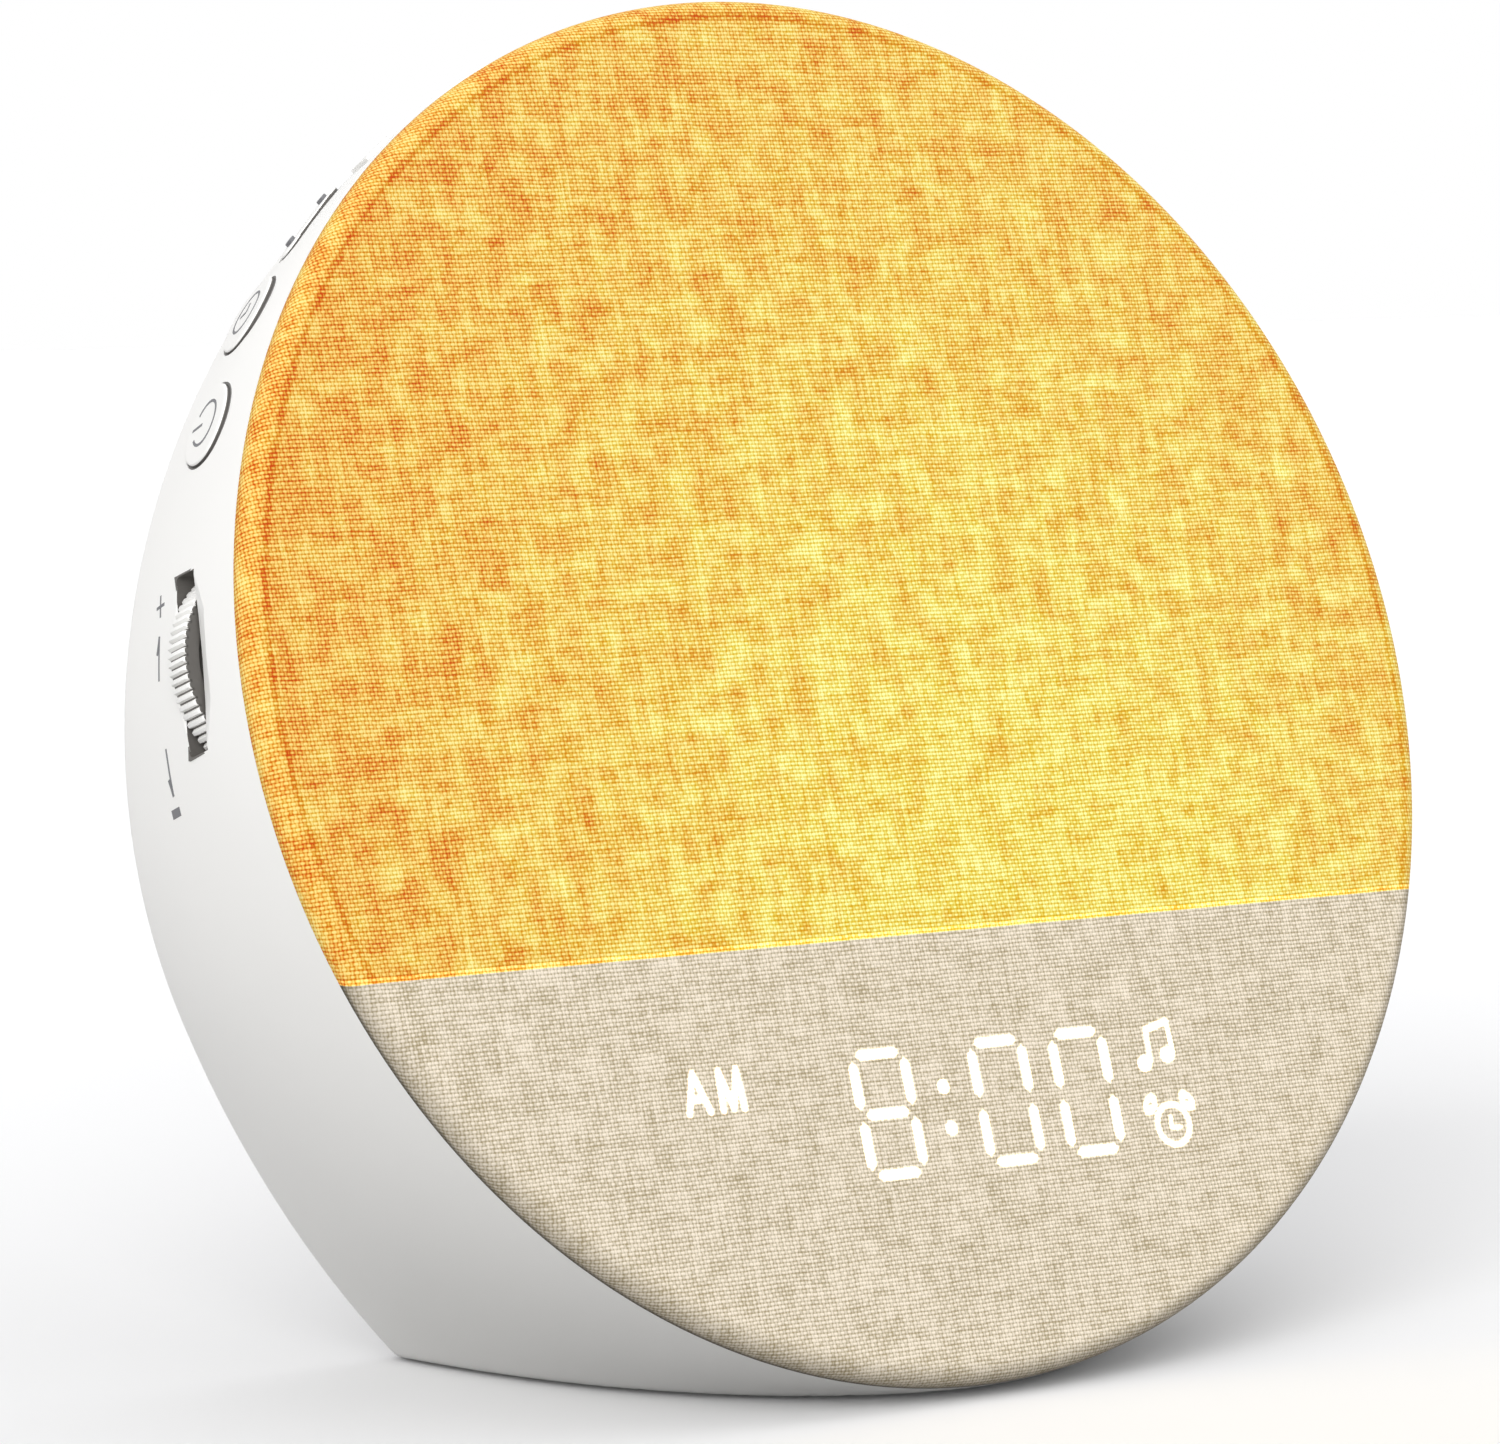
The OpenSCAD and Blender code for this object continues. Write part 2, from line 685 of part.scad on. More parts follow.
// ---- Dimmer wheel ----
wheel_wall_r = face_r - 0.4;
wheel_r = wheel_d / 2;
wheel_c = wheel_wall_r + wheel_proud - wheel_r;
wheel_front = wheel_s - wheel_t / 2;
wheel_end = wheel_s + wheel_t / 2;
rib_h = 0.45;
rib_n = round(PI * wheel_d / rib_pitch);
shaft_r = 3;
pot_w = 13;
pot_s = wheel_end + 0.7;
pot_t = 5;
dimmer_s = pot_s + pot_t;
dimmer_post_r = 2;
dimmer_post_y = wheel_r + 0.6 + dimmer_post_r;
dimmer_post_x = 71.5;
dish_r = 150;
dish_d = 0.8;
dish_ramp = 2.5;

module at_wheel() {
  face() rotate([0, 0, wheel_deg]) translate([wheel_c, 0, 0]) children();
}
module wheel_outline() {
  step = 360 / rib_n;
  polygon([for (k = [0:rib_n - 1]) for (c = [[-0.34, 0], [-0.26, 1], [0.26, 1], [0.34, 0]])
    let (a = (k + c[0]) * step)
    let (r = wheel_r - rib_h * (1 - c[1]))
    [r * cos(a), r * sin(a)]]);
}
module dimmer_wheel() {
  color(white_plastic) at_wheel() difference() {
    plate(wheel_front, wheel_end) wheel_outline();
    disc(shaft_r, wheel_front - 1, wheel_end + 1);
    for (s = [wheel_front - 1, wheel_end - 0.7]) plate(s, s + 1.7) difference() {
      circle(wheel_r - 2, $fn = 96);
      circle(shaft_r + 2, $fn = 64);
    }
  }
}
module dimmer_shaft() {
  color(steel) at_wheel() disc(shaft_r, wheel_front - 0.6, dimmer_s - 0.2);
}
module dimmer_pot() {
  color("darkslategray") at_wheel() difference() {
    plate(pot_s, dimmer_s) square(pot_w, center = true);
    disc(shaft_r + run_fit, pot_s - 1, dimmer_s + 1);
  }
}
module dimmer_board() {
  color(board_green) face() plate(dimmer_s, dimmer_s + board_t) difference() {
    intersection() {
      circle(inner_r - 2, $fn = 180);
      rotate(wheel_deg) translate([wheel_c - 8, -dimmer_post_y - 3]) square([20, 2 * dimmer_post_y + 6]);
    }
    rotate(wheel_deg) for (sy = [-1, 1])
      translate([dimmer_post_x, sy * dimmer_post_y]) circle(screw_r + 0.2, $fn = 24);
  }
}
module dimmer_screws() {
  color(steel) face() at_depth(dimmer_s + board_t) rotate([0, 0, wheel_deg])
    for (sy = [-1, 1]) translate([dimmer_post_x, sy * dimmer_post_y, 0]) screw(board_t + 4);
}

// ---- Housing ----
cover_screw_at = 64.5;
cover_screw_deg = [35, 145, 218, 322];
cover_boss_r = 3.6;
cover_boss_y = 27;
foot_places = [[-30, 24], [30, 24], [-12, -2], [12, -2]];
foot_sunk = 1.2;
far = 400;
module in_front_of(y) {
  upright() translate([-far / 2, y - far, -far / 2]) cube(far);
}
module behind(s) {
  face() translate([-far / 2, -far / 2, -s - far]) cube(far);
}
module cover_screws_at(y) {
  upright() for (a = cover_screw_deg)
    translate([cover_screw_at * cos(a), y, cover_screw_at * sin(a) - rear_drop]) rotate([-90, 0, 0]) children();
}
module wheel_dish() {
  half = wheel_t / 2 + clear;
  face() rotate([0, 0, wheel_deg]) translate([wheel_wall_r - dish_d + dish_r, 0, 0]) {
    disc(dish_r, wheel_s - half, wheel_s + half);
    at_depth(wheel_s - half) cylinder(r1 = dish_r, r2 = dish_r - dish_d, h = dish_ramp, $fn = 360);
    at_depth(wheel_s + half + dish_ramp)
      cylinder(r1 = dish_r - dish_d, r2 = dish_r, h = dish_ramp, $fn = 360);
  }
}
module control_holes() {
  face() {
    for (a = [power_deg, alarm_deg]) on_rim(a, button_s) translate([0, 0, inner_r - 4])
      cylinder(r = button_r + clear, h = 12, $fn = 96);
    on_rim(rocker_deg, rocker_s) translate([0, 0, inner_r - 4])
      linear_extrude(12) round_bar(rocker_w + 2 * clear, rocker_l + 3 * clear);
    band(snooze_in - 2, face_r + 4, snooze_s - clear, snooze_s + snooze_w + clear,
      snooze_half + atan2(snooze_travel + clear / 2, face_r));
    on_rim(wheel_deg, wheel_s) translate([0, 0, wheel_c]) linear_extrude(wheel_r + 6)
      square([wheel_t + 2 * clear, slot_l], center = true);
  }
}
module housing() {
  color(white_plastic) {
    difference() {
      wall_solid(0);
      intersection() {
        wall_solid(wall);
        behind(shelf_s);
        in_front_of(inner_y);
      }
      face() disc(shelf_r, seam_s - 1, shelf_s + 1);
      face() disc(control_out + 0.6, shelf_s, led_board_end + 0.4);
      upright() upright_plate(inner_y - 1, ledge_y + 1) rear_outline(lip_w + 3);
      upright() upright_plate(ledge_y, rear_y + 1) rear_outline(lip_w);
      control_holes();
      pin_space(pin_r, pin_l + 0.1);
      wheel_dish();
      upright() for (p = foot_places) translate([p[0], p[1], floor_z - 1])
        cylinder(r = foot_d / 2 + seat, h = foot_sunk + 1, $fn = 48);
    }
    cover_screws_at(cover_boss_y) difference() {
      cylinder(r = cover_boss_r, h = ledge_y - cover_boss_y, $fn = 48);
      translate([0, 0, 1]) cylinder(r = screw_r + seat, h = ledge_y - cover_boss_y, $fn = 24);
    }
    face() for (a = control_posts) rotate([0, 0, a]) translate([control_post_at, 0, 0]) difference() {
      disc(control_post_r, shelf_s - 0.2, control_s);
      disc(screw_r - 0.2, shelf_s + 0.8, control_s + 1);
    }
    face() rotate([0, 0, wheel_deg]) for (sy = [-1, 1])
      translate([dimmer_post_x, sy * dimmer_post_y, 0]) difference() {
        disc(dimmer_post_r, shelf_s - 0.2, dimmer_s);
        disc(screw_r + seat, dimmer_s - 4.4, dimmer_s + 1);
      }
    rocker_ears();
  }
}
// Two ears under the wall hold the pin of the rocker
module rocker_ears() {
  difference() {
    face() for (sx = [-1, 1]) on_rim(rocker_deg, rocker_s + sx * (rocker_w / 2 + ear_gap + ear_t / 2))
      translate([-ear_t / 2, -lug_r, pivot_r - 1.8]) cube([ear_t, 2 * lug_r, ear_h]);
    pin_space(pin_r, pin_l + 0.1);
  }
}
module rubber_feet() {
  color("dimgray") upright() for (p = foot_places) translate([p[0], p[1], floor_z - foot_proud])
    cylinder(r = foot_d / 2, h = foot_proud + foot_sunk, $fn = 48);
}

// ---- Rear cover and what it carries ----
// How far the posts reach into the plate they stand on
root_d = 0.3;
cover_gap = 0.2;
slat_pitch = 4;
slat_h = 2;
grille_r = speaker_d / 2 - 4;
jack_x = 31;
jack_z = -57;
jack_thread_r = 4.2;
jack_flange_r = 6;
jack_flange_t = 1.2;
jack_bore_l = 9.5;
jack_l = 13;
nut_t = 2.2;
door_x = -17;
door_z = 8;
door_w = 26;
door_h = 31;
door_t = 1.4;
door_rim = 2;
door_screw_z = door_z - door_h / 2 + 3.2;
main_y = 25;
main_end = main_y + board_t;
main_x = 34;
main_low = -12;
main_high = 32;
main_posts = [for (sx = [-1, 1]) for (z = [main_low + 4, main_high - 4]) [sx * (main_x - 4), z]];
post_r = 2.6;
speaker_lug = speaker_d / 2 + 2.2;
gasket_t = 0.5;
basket_t = 1.2;
basket_y = ledge_y - gasket_t - basket_t;
head_sunk = 1.2;

module speaker_posts() {
  for (a = [45:90:315]) translate([speaker_lug * cos(a), 0, speaker_lug * sin(a) - speaker_drop]) children();
}
module rear_cover() {
  color(white_plastic) {
    difference() {
      upright() upright_plate(ledge_y, rear_y) difference() {
        rear_outline(lip_w + cover_gap);
        for (k = [-4:4]) translate([0, k * slat_pitch - speaker_drop])
          rotate(90) round_bar(slat_h, 2 * sqrt(pow(grille_r, 2) - pow(k * slat_pitch, 2)));
        translate([jack_x, jack_z]) circle(jack_thread_r + 0.1, $fn = 48);
        translate([door_x, door_z]) square([door_w - 2 * door_rim, door_h - 12], center = true);
        for (a = cover_screw_deg) translate([cover_screw_at * cos(a), cover_screw_at * sin(a) - rear_drop])
          circle(screw_r + 0.2, $fn = 24);
      }
      upright() rearward(jack_x, jack_z, rear_y - jack_flange_t, rear_y + 1, jack_flange_r + 0.1);
      upright() upright_plate(rear_y - door_t, rear_y + 1) translate([door_x, door_z])
        square([door_w + 2 * cover_gap, door_h + 2 * cover_gap], center = true);
      upright() rearward(door_x, door_screw_z, ledge_y - 1, rear_y, screw_r + seat, 24);
      cover_screws_at(rear_y - head_sunk) cylinder(r = 2.9, h = head_sunk + 1, $fn = 32);
    }
    upright() {
      for (p = main_posts) difference() {
        rearward(p[0], p[1], main_end, ledge_y + root_d, post_r);
        rearward(p[0], p[1], main_end - 1, main_end + 5, screw_r + seat, 24);
      }
      difference() {
        speaker_posts() rearward(0, 0, basket_y, ledge_y + root_d, post_r);
        speaker_posts() rearward(0, 0, basket_y - 1, ledge_y, screw_r + seat, 24);
        rearward(0, -speaker_drop, basket_y - 1, ledge_y + 1, speaker_d / 2 + clear, 96);
      }
      difference() {
        rearward(door_x, door_screw_z, ledge_y - 3.1, ledge_y + root_d, 2.2);
        rearward(door_x, door_screw_z, ledge_y - 2.8, ledge_y + 1, screw_r + seat, 24);
      }
    }
  }
}
module rear_screws() {
  color(steel) cover_screws_at(rear_y - head_sunk) rotate([180, 0, 0]) {
    translate([0, 0, -1]) cylinder(r = 2.6, h = 1, $fn = 32);
    cylinder(r = screw_r, h = 6.6, $fn = 24);
  }
}
module battery_door() {
  color(white_plastic) upright() upright_plate(rear_y - door_t, rear_y) difference() {
    translate([door_x, door_z]) square([door_w, door_h], center = true);
    translate([door_x, door_screw_z]) circle(screw_r + 0.2, $fn = 24);
  }
}
module battery_door_screw() {
  color(steel) upright() translate([door_x, rear_y, door_screw_z]) rotate([90, 0, 0]) {
    translate([0, 0, -0.8]) cylinder(r = 1.9, h = 0.8, $fn = 32);
    cylinder(r = screw_r, h = 4.8, $fn = 24);
  }
}
module power_jack() {
  color("black") upright() difference() {
    union() {
      rearward(jack_x, jack_z, rear_y - jack_flange_t, rear_y, jack_flange_r);
      rearward(jack_x, jack_z, rear_y - jack_l, rear_y - jack_flange_t / 2, jack_thread_r);
    }
    difference() {
      rearward(jack_x, jack_z, rear_y - jack_bore_l, rear_y + 1, inlet_d / 2, 64);
      rearward(jack_x, jack_z, rear_y - jack_bore_l - 1, rear_y - 1.5, 1, 32);
    }
  }
}
module jack_nut() {
  color(steel) upright() translate([jack_x, ledge_y - nut_t, jack_z]) rotate([-90, 0, 0]) difference() {
    cylinder(r = 6.6, h = nut_t, $fn = 6);
    translate([0, 0, -1]) cylinder(r = jack_thread_r, h = nut_t + 2, $fn = 48);
  }
}

// A turned section about the loudspeaker's axis, as radius and distance behind the centre
module turned() {
  upright() translate([0, 0, -speaker_drop]) rotate([-90, 0, 0]) rotate_extrude($fn = 96) children();
}
speaker_r = speaker_d / 2;
magnet_r = 14;
magnet_t = 6;
basket_d = 11;
basket_back = basket_y - basket_d;
cone_in = 6.5;
cone_out = speaker_r - 5.5;
module speaker_gasket() {
  color("black") turned() translate([speaker_r - 2.7, ledge_y - gasket_t]) square([2.7, gasket_t]);
}
module speaker_basket() {
  color("dimgray") {
    difference() {
      turned() {
        translate([speaker_r - 2.7, basket_y]) square([2.7, basket_t]);
        polygon([
          [speaker_r - 2.6, basket_y + 0.1], [speaker_r - 1.5, basket_y + 0.1],
          [magnet_r, basket_back + 1], [magnet_r, basket_back], [7.5, basket_back],
          [7.5, basket_back + 1], [magnet_r - 1, basket_back + 1]
        ]);
      }
      for (a = [0:60:300]) upright() translate([0, basket_y - 2.6, -speaker_drop]) rotate([0, a, 0])
        translate([0, 0, speaker_r - 5]) cube([9, 4.4, 12], center = true);
    }
    upright() intersection() {
      speaker_posts() difference() {
        rearward(0, 0, basket_y - 1, basket_y, post_r);
        rearward(0, 0, basket_y - 2, basket_y + 1, screw_r + 0.2, 24);
      }
      rearward(0, -speaker_drop, basket_y - 2, basket_y + 1, speaker_lug + 3, 96);
    }
    difference() {
      turned() translate([speaker_r - 2.7, basket_y - 1]) square([speaker_lug - speaker_r + 3.4, 1]);
      upright() for (a = [0:90:270]) translate([0, basket_y, -speaker_drop]) rotate([0, a, 0])
        translate([-14, -2, 8]) cube([28, 4, 30]);
      upright() speaker_posts() rearward(0, 0, basket_y - 2, basket_y + 1, screw_r + 0.2, 24);
    }
  }
}
module speaker_magnet() {
  color("darkslategray") turned() difference() {
    translate([0, basket_back - magnet_t]) square([magnet_r, magnet_t]);
    translate([5.8, basket_back - 4]) square([1.2, 5]);
  }
}
module speaker_surround() {
  color("black") turned() translate([(cone_out + speaker_r - 2.7) / 2, basket_y + 0.2]) {
    roll = (speaker_r - 2.7 - cone_out) / 2;
    difference() {
      circle(roll, $fn = 48);
      circle(roll - 0.5, $fn = 48);
      translate([-roll, -2 * roll]) square([2 * roll, 2 * roll]);
    }
  }
}
// The paper cone runs down to the coil, and a domed cap closes its middle
module speaker_cone() {
  cap_y = basket_y - 11.6;
  cap_r = 8;
  skin = 0.6;
  color("gray") turned() polygon(concat(
    [[cone_out, basket_y + 0.2], [cone_out, basket_y + 0.8], [cone_in, basket_y - 5.4]],
    [for (a = [50:8:90]) [(cap_r + skin) * cos(a), cap_y + (cap_r + skin) * sin(a)]],
    [for (a = [90:-8:50]) [cap_r * cos(a), cap_y + cap_r * sin(a)]],
    [[cone_in - skin, basket_y - 7], [cone_in - skin, basket_back - 3], [cone_in, basket_back - 3],
      [cone_in, basket_y - 6.1]]
  ));
}
module speaker_screws() {
  color(steel) upright() speaker_posts() translate([0, basket_y - 1, 0]) rotate([-90, 0, 0]) screw(2.6);
}

module main_board() {
  color(board_green) upright() upright_plate(main_y, main_end) difference() {
    translate([-main_x, main_low]) square([2 * main_x, main_high - main_low]);
    for (p = main_posts) translate(p) circle(screw_r + 0.2, $fn = 24);
  }
}
module main_board_screws() {
  color(steel) upright() for (p = main_posts)
    translate([p[0], main_y, p[1]]) rotate([-90, 0, 0]) screw(board_t + 4);
}
module board_chips() {
  color("black") upright() {
    translate([-8, main_y - 1.2, -4]) cube([11, 1.2, 11]);
    translate([9, main_y - 1.5, -6]) cube([6, 1.5, 5]);
    translate([-26, main_y - 1, 2]) cube([7, 1, 5]);
    for (x = [8, 18]) rearward(x, 22, main_end, main_end + 5.5, 3.2, 32);
    for (x = [-1, 13]) translate([x, main_end, -10.5]) cube([10, 4.5, 5]);
  }
}
holder_t = 4;
coin_r = 10;
coin_t = 3.2;
module battery_holder() {
  color("black") upright() difference() {
    rearward(door_x, door_z + 1, main_end, main_end + holder_t, coin_r + 1.8, 64);
    rearward(door_x, door_z + 1, main_end + 0.6, main_end + holder_t + 1, coin_r + 0.2, 64);
    translate([door_x - 3, main_end + 0.6, door_z]) cube([6, holder_t, 20]);
  }
}
module coin_cell() {
  color(steel) upright() rearward(door_x, door_z + 1, main_end + 0.65, main_end + 0.65 + coin_t, coin_r, 64);
}

fabric_cover();
front_frame();
light_diffuser();
light_partition();
reflector_tray();
led_board();
leds();
led_board_screws();
display_panel();
digit_module();
digit_segments();
icon_windows();
display_board();
display_board_screws();
housing();
rear_cover();
rear_screws();
rubber_feet();
button_board();
switch_bodies();
button_board_screws();
power_button();
power_plunger();
alarm_button();
alarm_plunger();
volume_rocker();
rocker_plungers();
rocker_pin();
snooze_bar();
snooze_plungers();
dimmer_wheel();
dimmer_shaft();
dimmer_pot();
dimmer_board();
dimmer_screws();
speaker_basket();
speaker_magnet();
speaker_cone();
speaker_surround();
speaker_gasket();
speaker_screws();
main_board();
board_chips();
main_board_screws();
power_jack();
jack_nut();
battery_holder();
coin_cell();
battery_door();
battery_door_screw();
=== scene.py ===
import bmesh
import bpy
import numpy as np
from mathutils import Matrix, Vector


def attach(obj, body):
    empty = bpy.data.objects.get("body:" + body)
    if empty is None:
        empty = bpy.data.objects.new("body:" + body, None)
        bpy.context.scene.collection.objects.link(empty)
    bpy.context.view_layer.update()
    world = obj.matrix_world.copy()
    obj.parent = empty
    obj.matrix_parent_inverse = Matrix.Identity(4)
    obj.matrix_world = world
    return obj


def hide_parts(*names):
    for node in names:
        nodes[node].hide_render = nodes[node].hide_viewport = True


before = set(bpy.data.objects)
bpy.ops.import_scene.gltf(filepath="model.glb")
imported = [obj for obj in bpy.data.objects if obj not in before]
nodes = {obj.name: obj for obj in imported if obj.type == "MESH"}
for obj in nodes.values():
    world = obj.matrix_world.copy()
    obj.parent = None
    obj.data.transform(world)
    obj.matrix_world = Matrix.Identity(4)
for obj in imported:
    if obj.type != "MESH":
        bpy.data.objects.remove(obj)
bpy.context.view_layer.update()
mm = 0.001

# Shape of the body, in mm from the middle of the face, as the construction has it
form = {
    "lean": np.radians(18.4), "centre": np.array([0.0, -5.749, 78.1]),
    "faceR": 80.0, "seam": 2.8,  # radius of the face, and depth at which the wall starts
    "shoulder": 33.0, "rearR": 76.5, "drop": 5.1,  # the rear outline: depth, radius, how much lower
    "flankFrom": np.radians(24.5), "flankR": 142.0,  # its flanks below this angle
    "edgeR": 4.0, "edgeFrom": np.radians(12),  # the rear edge and the turn it starts with
    "floor": -77.7, "footEdge": 0.8, "horizon": -29.7,
}
sinL, cosL = np.sin(form["lean"]), np.cos(form["lean"])


# Face coordinates to the row frame, in metres: x right, y up the face, s behind it
def onFace(x, y, s):
    x, y, s = np.broadcast_arrays(np.asarray(x, float), np.asarray(y, float), np.asarray(s, float))
    p = np.stack([x, y * sinL + s * cosL, y * cosL - s * sinL], -1)
    return (p + form["centre"]) * mm


# Distance up the face and behind it, for places in mm from the middle of the face
def leaned(p):
    return p[..., 1] * sinL + p[..., 2] * cosL, p[..., 1] * cosL - p[..., 2] * sinL


# Distance of the rear outline from its centre: a circle above, wide arcs down the flanks
def rearRho(a, step):
    a = np.mod(a, 2 * np.pi)
    dip = np.where(a > np.pi, np.minimum(a - np.pi, 2 * np.pi - a), 0)
    past = np.maximum(dip - form["flankFrom"], 0)
    reach = form["flankR"] - form["rearR"]
    bent = -reach * np.cos(past) + np.sqrt((form["flankR"] - step) ** 2 - (reach * np.sin(past)) ** 2)
    return np.where(past > 0, bent, form["rearR"] - step)


# Depth of the front edge in direction a: the rim of the leaning disc, one seam behind its face
def frontDepth(a):
    return form["faceR"] * np.sin(a) * sinL + form["seam"] * cosL


# One point of the wall for angle a and way t: it leaves the round front square to the face
# and draws in to the rear outline with the square of t; past t = 1 it turns round the rear edge
def wallPoint(a, t):
    turn = form["edgeFrom"] + np.clip(t - 1, 0, 1) * (np.pi / 2 - form["edgeFrom"])
    back = form["edgeR"] * (np.sin(turn) - np.sin(form["edgeFrom"]))
    inward = form["edgeR"] * (np.cos(form["edgeFrom"]) - np.cos(turn))
    t = np.clip(t, None, 1)
    frontY = frontDepth(a)
    frontZ = form["faceR"] * np.sin(a) * cosL - form["seam"] * sinL
    run = (form["shoulder"] - frontY) / cosL
    rho = rearRho(a, inward)
    x = form["faceR"] * np.cos(a) + t ** 2 * (rho - form["faceR"]) * np.cos(a)
    y = frontY + t * run * cosL + back
    z = frontZ - t * run * sinL + t ** 2 * (rho * np.sin(a) - form["drop"] - frontZ + run * sinL)
    d = z - form["floor"]
    e = form["footEdge"]
    eased = np.where(d >= e, z, np.where(d <= -e, form["floor"], form["floor"] + (d + e) ** 2 / (4 * e)))
    return np.stack([x, y, eased], -1)


# Outward normal of the wall: the cross product of its slopes along t and along a
def wallNormal(a, t):
    h = 1e-3
    n = np.cross(wallPoint(a, t + h) - wallPoint(a, t - h), wallPoint(a + h, t) - wallPoint(a - h, t))
    n /= np.maximum(np.linalg.norm(n, axis=-1, keepdims=True), 1e-12)
    return n


# For depths y: which lie behind the shoulder, how far round the rear edge they are from 0 to 1,
# and how far the outline has drawn in there, from the sine of the edge's turn
def rearEdge(y):
    turn = np.arcsin(np.clip((y - form["shoulder"]) / form["edgeR"] + np.sin(form["edgeFrom"]), 0, 1))
    way = (turn - form["edgeFrom"]) / (np.pi / 2 - form["edgeFrom"])
    inward = form["edgeR"] * (np.cos(form["edgeFrom"]) - np.cos(turn))
    behind = y > form["shoulder"]
    return behind, way, np.where(behind, inward, 0)


# Angle and way of the wall's point nearest to a place, found by repeated correction of the
# angle; the easing on to the floor is undone first
def wallPlace(p):
    e = form["footEdge"]
    lift = np.clip(p[:, 2] - form["floor"], 0, e)
    z = np.where(lift < e, form["floor"] + 2 * np.sqrt(e * lift) - e, p[:, 2])
    behind, way, inward = rearEdge(p[:, 1])
    a = np.arctan2(z + 5, p[:, 0])  # a first guess, from about the middle of the rear
    for _ in range(25):
        frontY = frontDepth(a)
        run = (form["shoulder"] - frontY) / cosL
        t = np.clip((p[:, 1] - frontY) / (form["shoulder"] - frontY), 0, 1)
        rho = rearRho(a, inward)
        top = z + form["seam"] * sinL * (1 - t ** 2) + run * sinL * (t - t ** 2) + form["drop"] * t ** 2
        high = top / (form["faceR"] * cosL * (1 - t ** 2) + rho * t ** 2)
        wide = p[:, 0] / (form["faceR"] * (1 - t ** 2) + rho * t ** 2)
        a = np.arctan2(high, wide)
    return a, np.where(behind, 1 + way, t)


# Angle and way of the wall's point straight above or below a place near the foot, where the
# cosine of the angle is the place's x over the outline's radius
def footPlace(p):
    behind, way, inward = rearEdge(p[:, 1])
    a = np.full(len(p), -np.pi / 2)
    for _ in range(40):
        frontY = frontDepth(a)
        t = np.clip((p[:, 1] - frontY) / (form["shoulder"] - frontY), 0, 1)
        r = form["faceR"] * (1 - t ** 2) + rearRho(a, inward) * t ** 2
        a = -np.arccos(np.clip(p[:, 0] / r, -0.95, 0.95))
    return a, np.where(behind, 1 + way, t)


# Distance of the wall from the face's axis in one direction a, at depth s behind the face:
# the way t is corrected by the depth that is still missing
def wallR(a, s):
    run = (form["shoulder"] - form["faceR"] * np.sin(a) * sinL) / cosL - form["seam"]
    t = (s - form["seam"]) / run
    for _ in range(8):
        p = wallPoint(a, t)
        up, deep = leaned(p)
        t = t + (s - deep) / run
    return np.hypot(p[..., 0], up)


# Faces of a sheet of points in rows; each row is a loop. An end is left open or closed with
# one face, and "loop" joins the last row to the first.
def gridFaces(rows, cols, ends=("face", "face")):
    i = np.arange(rows if ends == "loop" else rows - 1)[:, None]
    j = np.arange(cols)[None, :]
    n, k = (i + 1) % rows, (j + 1) % cols
    quads = np.stack([i * cols + j, i * cols + k, n * cols + k, n * cols + j], -1).reshape(-1, 4).tolist()
    if ends == "loop":
        return quads
    first = np.arange(cols)[::-1].tolist()
    last = (np.arange(cols) + (rows - 1) * cols).tolist()
    return quads + [f for f, end in ((first, ends[0]), (last, ends[1])) if end == "face"]


sharpFrom = 30  # degrees between two faces at which their edge stays sharp


def shade(mesh, degrees=sharpFrom):
    mesh.shade_smooth()
    mesh.set_sharp_from_angle(angle=np.radians(degrees))


# Puts a mesh, a lamp or the camera into the scene
def newObject(name, data):
    made = bpy.data.objects.new(name, data)
    bpy.context.scene.collection.objects.link(made)
    return made


# One number or one vector of each point, face or corner of a mesh
def fetch(items, what, width=1, kind=float):
    got = np.zeros(len(items) * width, kind)
    items.foreach_get(what, got)
    return got.reshape(-1, width) if width > 1 else got


# Merges doubled points, turns the faces outwards, shades the piece, puts it on its body and hides the parts
# it replaces
def finishPiece(mesh, name, body, materials, smooth=sharpFrom, replaces=()):
    bm = bmesh.new()
    bm.from_mesh(mesh)
    bmesh.ops.remove_doubles(bm, verts=bm.verts, dist=1e-7)
    bmesh.ops.dissolve_degenerate(bm, edges=bm.edges, dist=1e-8)
    bmesh.ops.recalc_face_normals(bm, faces=bm.faces)
    bm.to_mesh(mesh)
    bm.free()
    shade(mesh, smooth)
    piece = newObject(name, mesh)
    for m in materials:
        mesh.materials.append(m)
    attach(piece, body)
    if replaces:
        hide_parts(*replaces)
    return piece


# A finished piece from shells of (points in metres, faces)
def makePiece(name, shells, body, materials, smooth=sharpFrom, replaces=()):
    points, faces, start = [], [], 0
    for pts, fs in shells:
        points.append(pts.reshape(-1, 3))
        faces += [[v + start for v in f] for f in fs]
        start += len(points[-1])
    mesh = bpy.data.meshes.new(name)
    mesh.from_pydata(np.concatenate(points).tolist(), [], faces)
    return finishPiece(mesh, name, body, materials, smooth, replaces)


# sRGB hex to linear colour
def colour(text):
    c = np.array([int(text[i:i + 2], 16) for i in (0, 2, 4)]) / 255
    c = np.where(c <= 0.04045, c / 12.92, ((c + 0.055) / 1.055) ** 2.4)
    return [float(v) for v in c] + [1.0]


# Adds one node: its settings, then values or links for its inputs by number or name.
# A link is another node, for its first output, or (node, output name), or an output.
def add(tree, kind, ins, **settings):
    n = tree.nodes.new("ShaderNode" + kind)
    for k, v in settings.items():
        setattr(n, k, v)
    for k, v in (ins.items() if isinstance(ins, dict) else enumerate(ins)):
        if isinstance(v, bpy.types.Node):
            tree.links.new(v.outputs[0], n.inputs[k])
        elif isinstance(v, tuple) and isinstance(v[0], bpy.types.Node):
            tree.links.new(v[0].outputs[v[1]], n.inputs[k])
        elif isinstance(v, bpy.types.NodeSocket):
            tree.links.new(v, n.inputs[k])
        elif v is not None:
            n.inputs[k].default_value = v
    return n


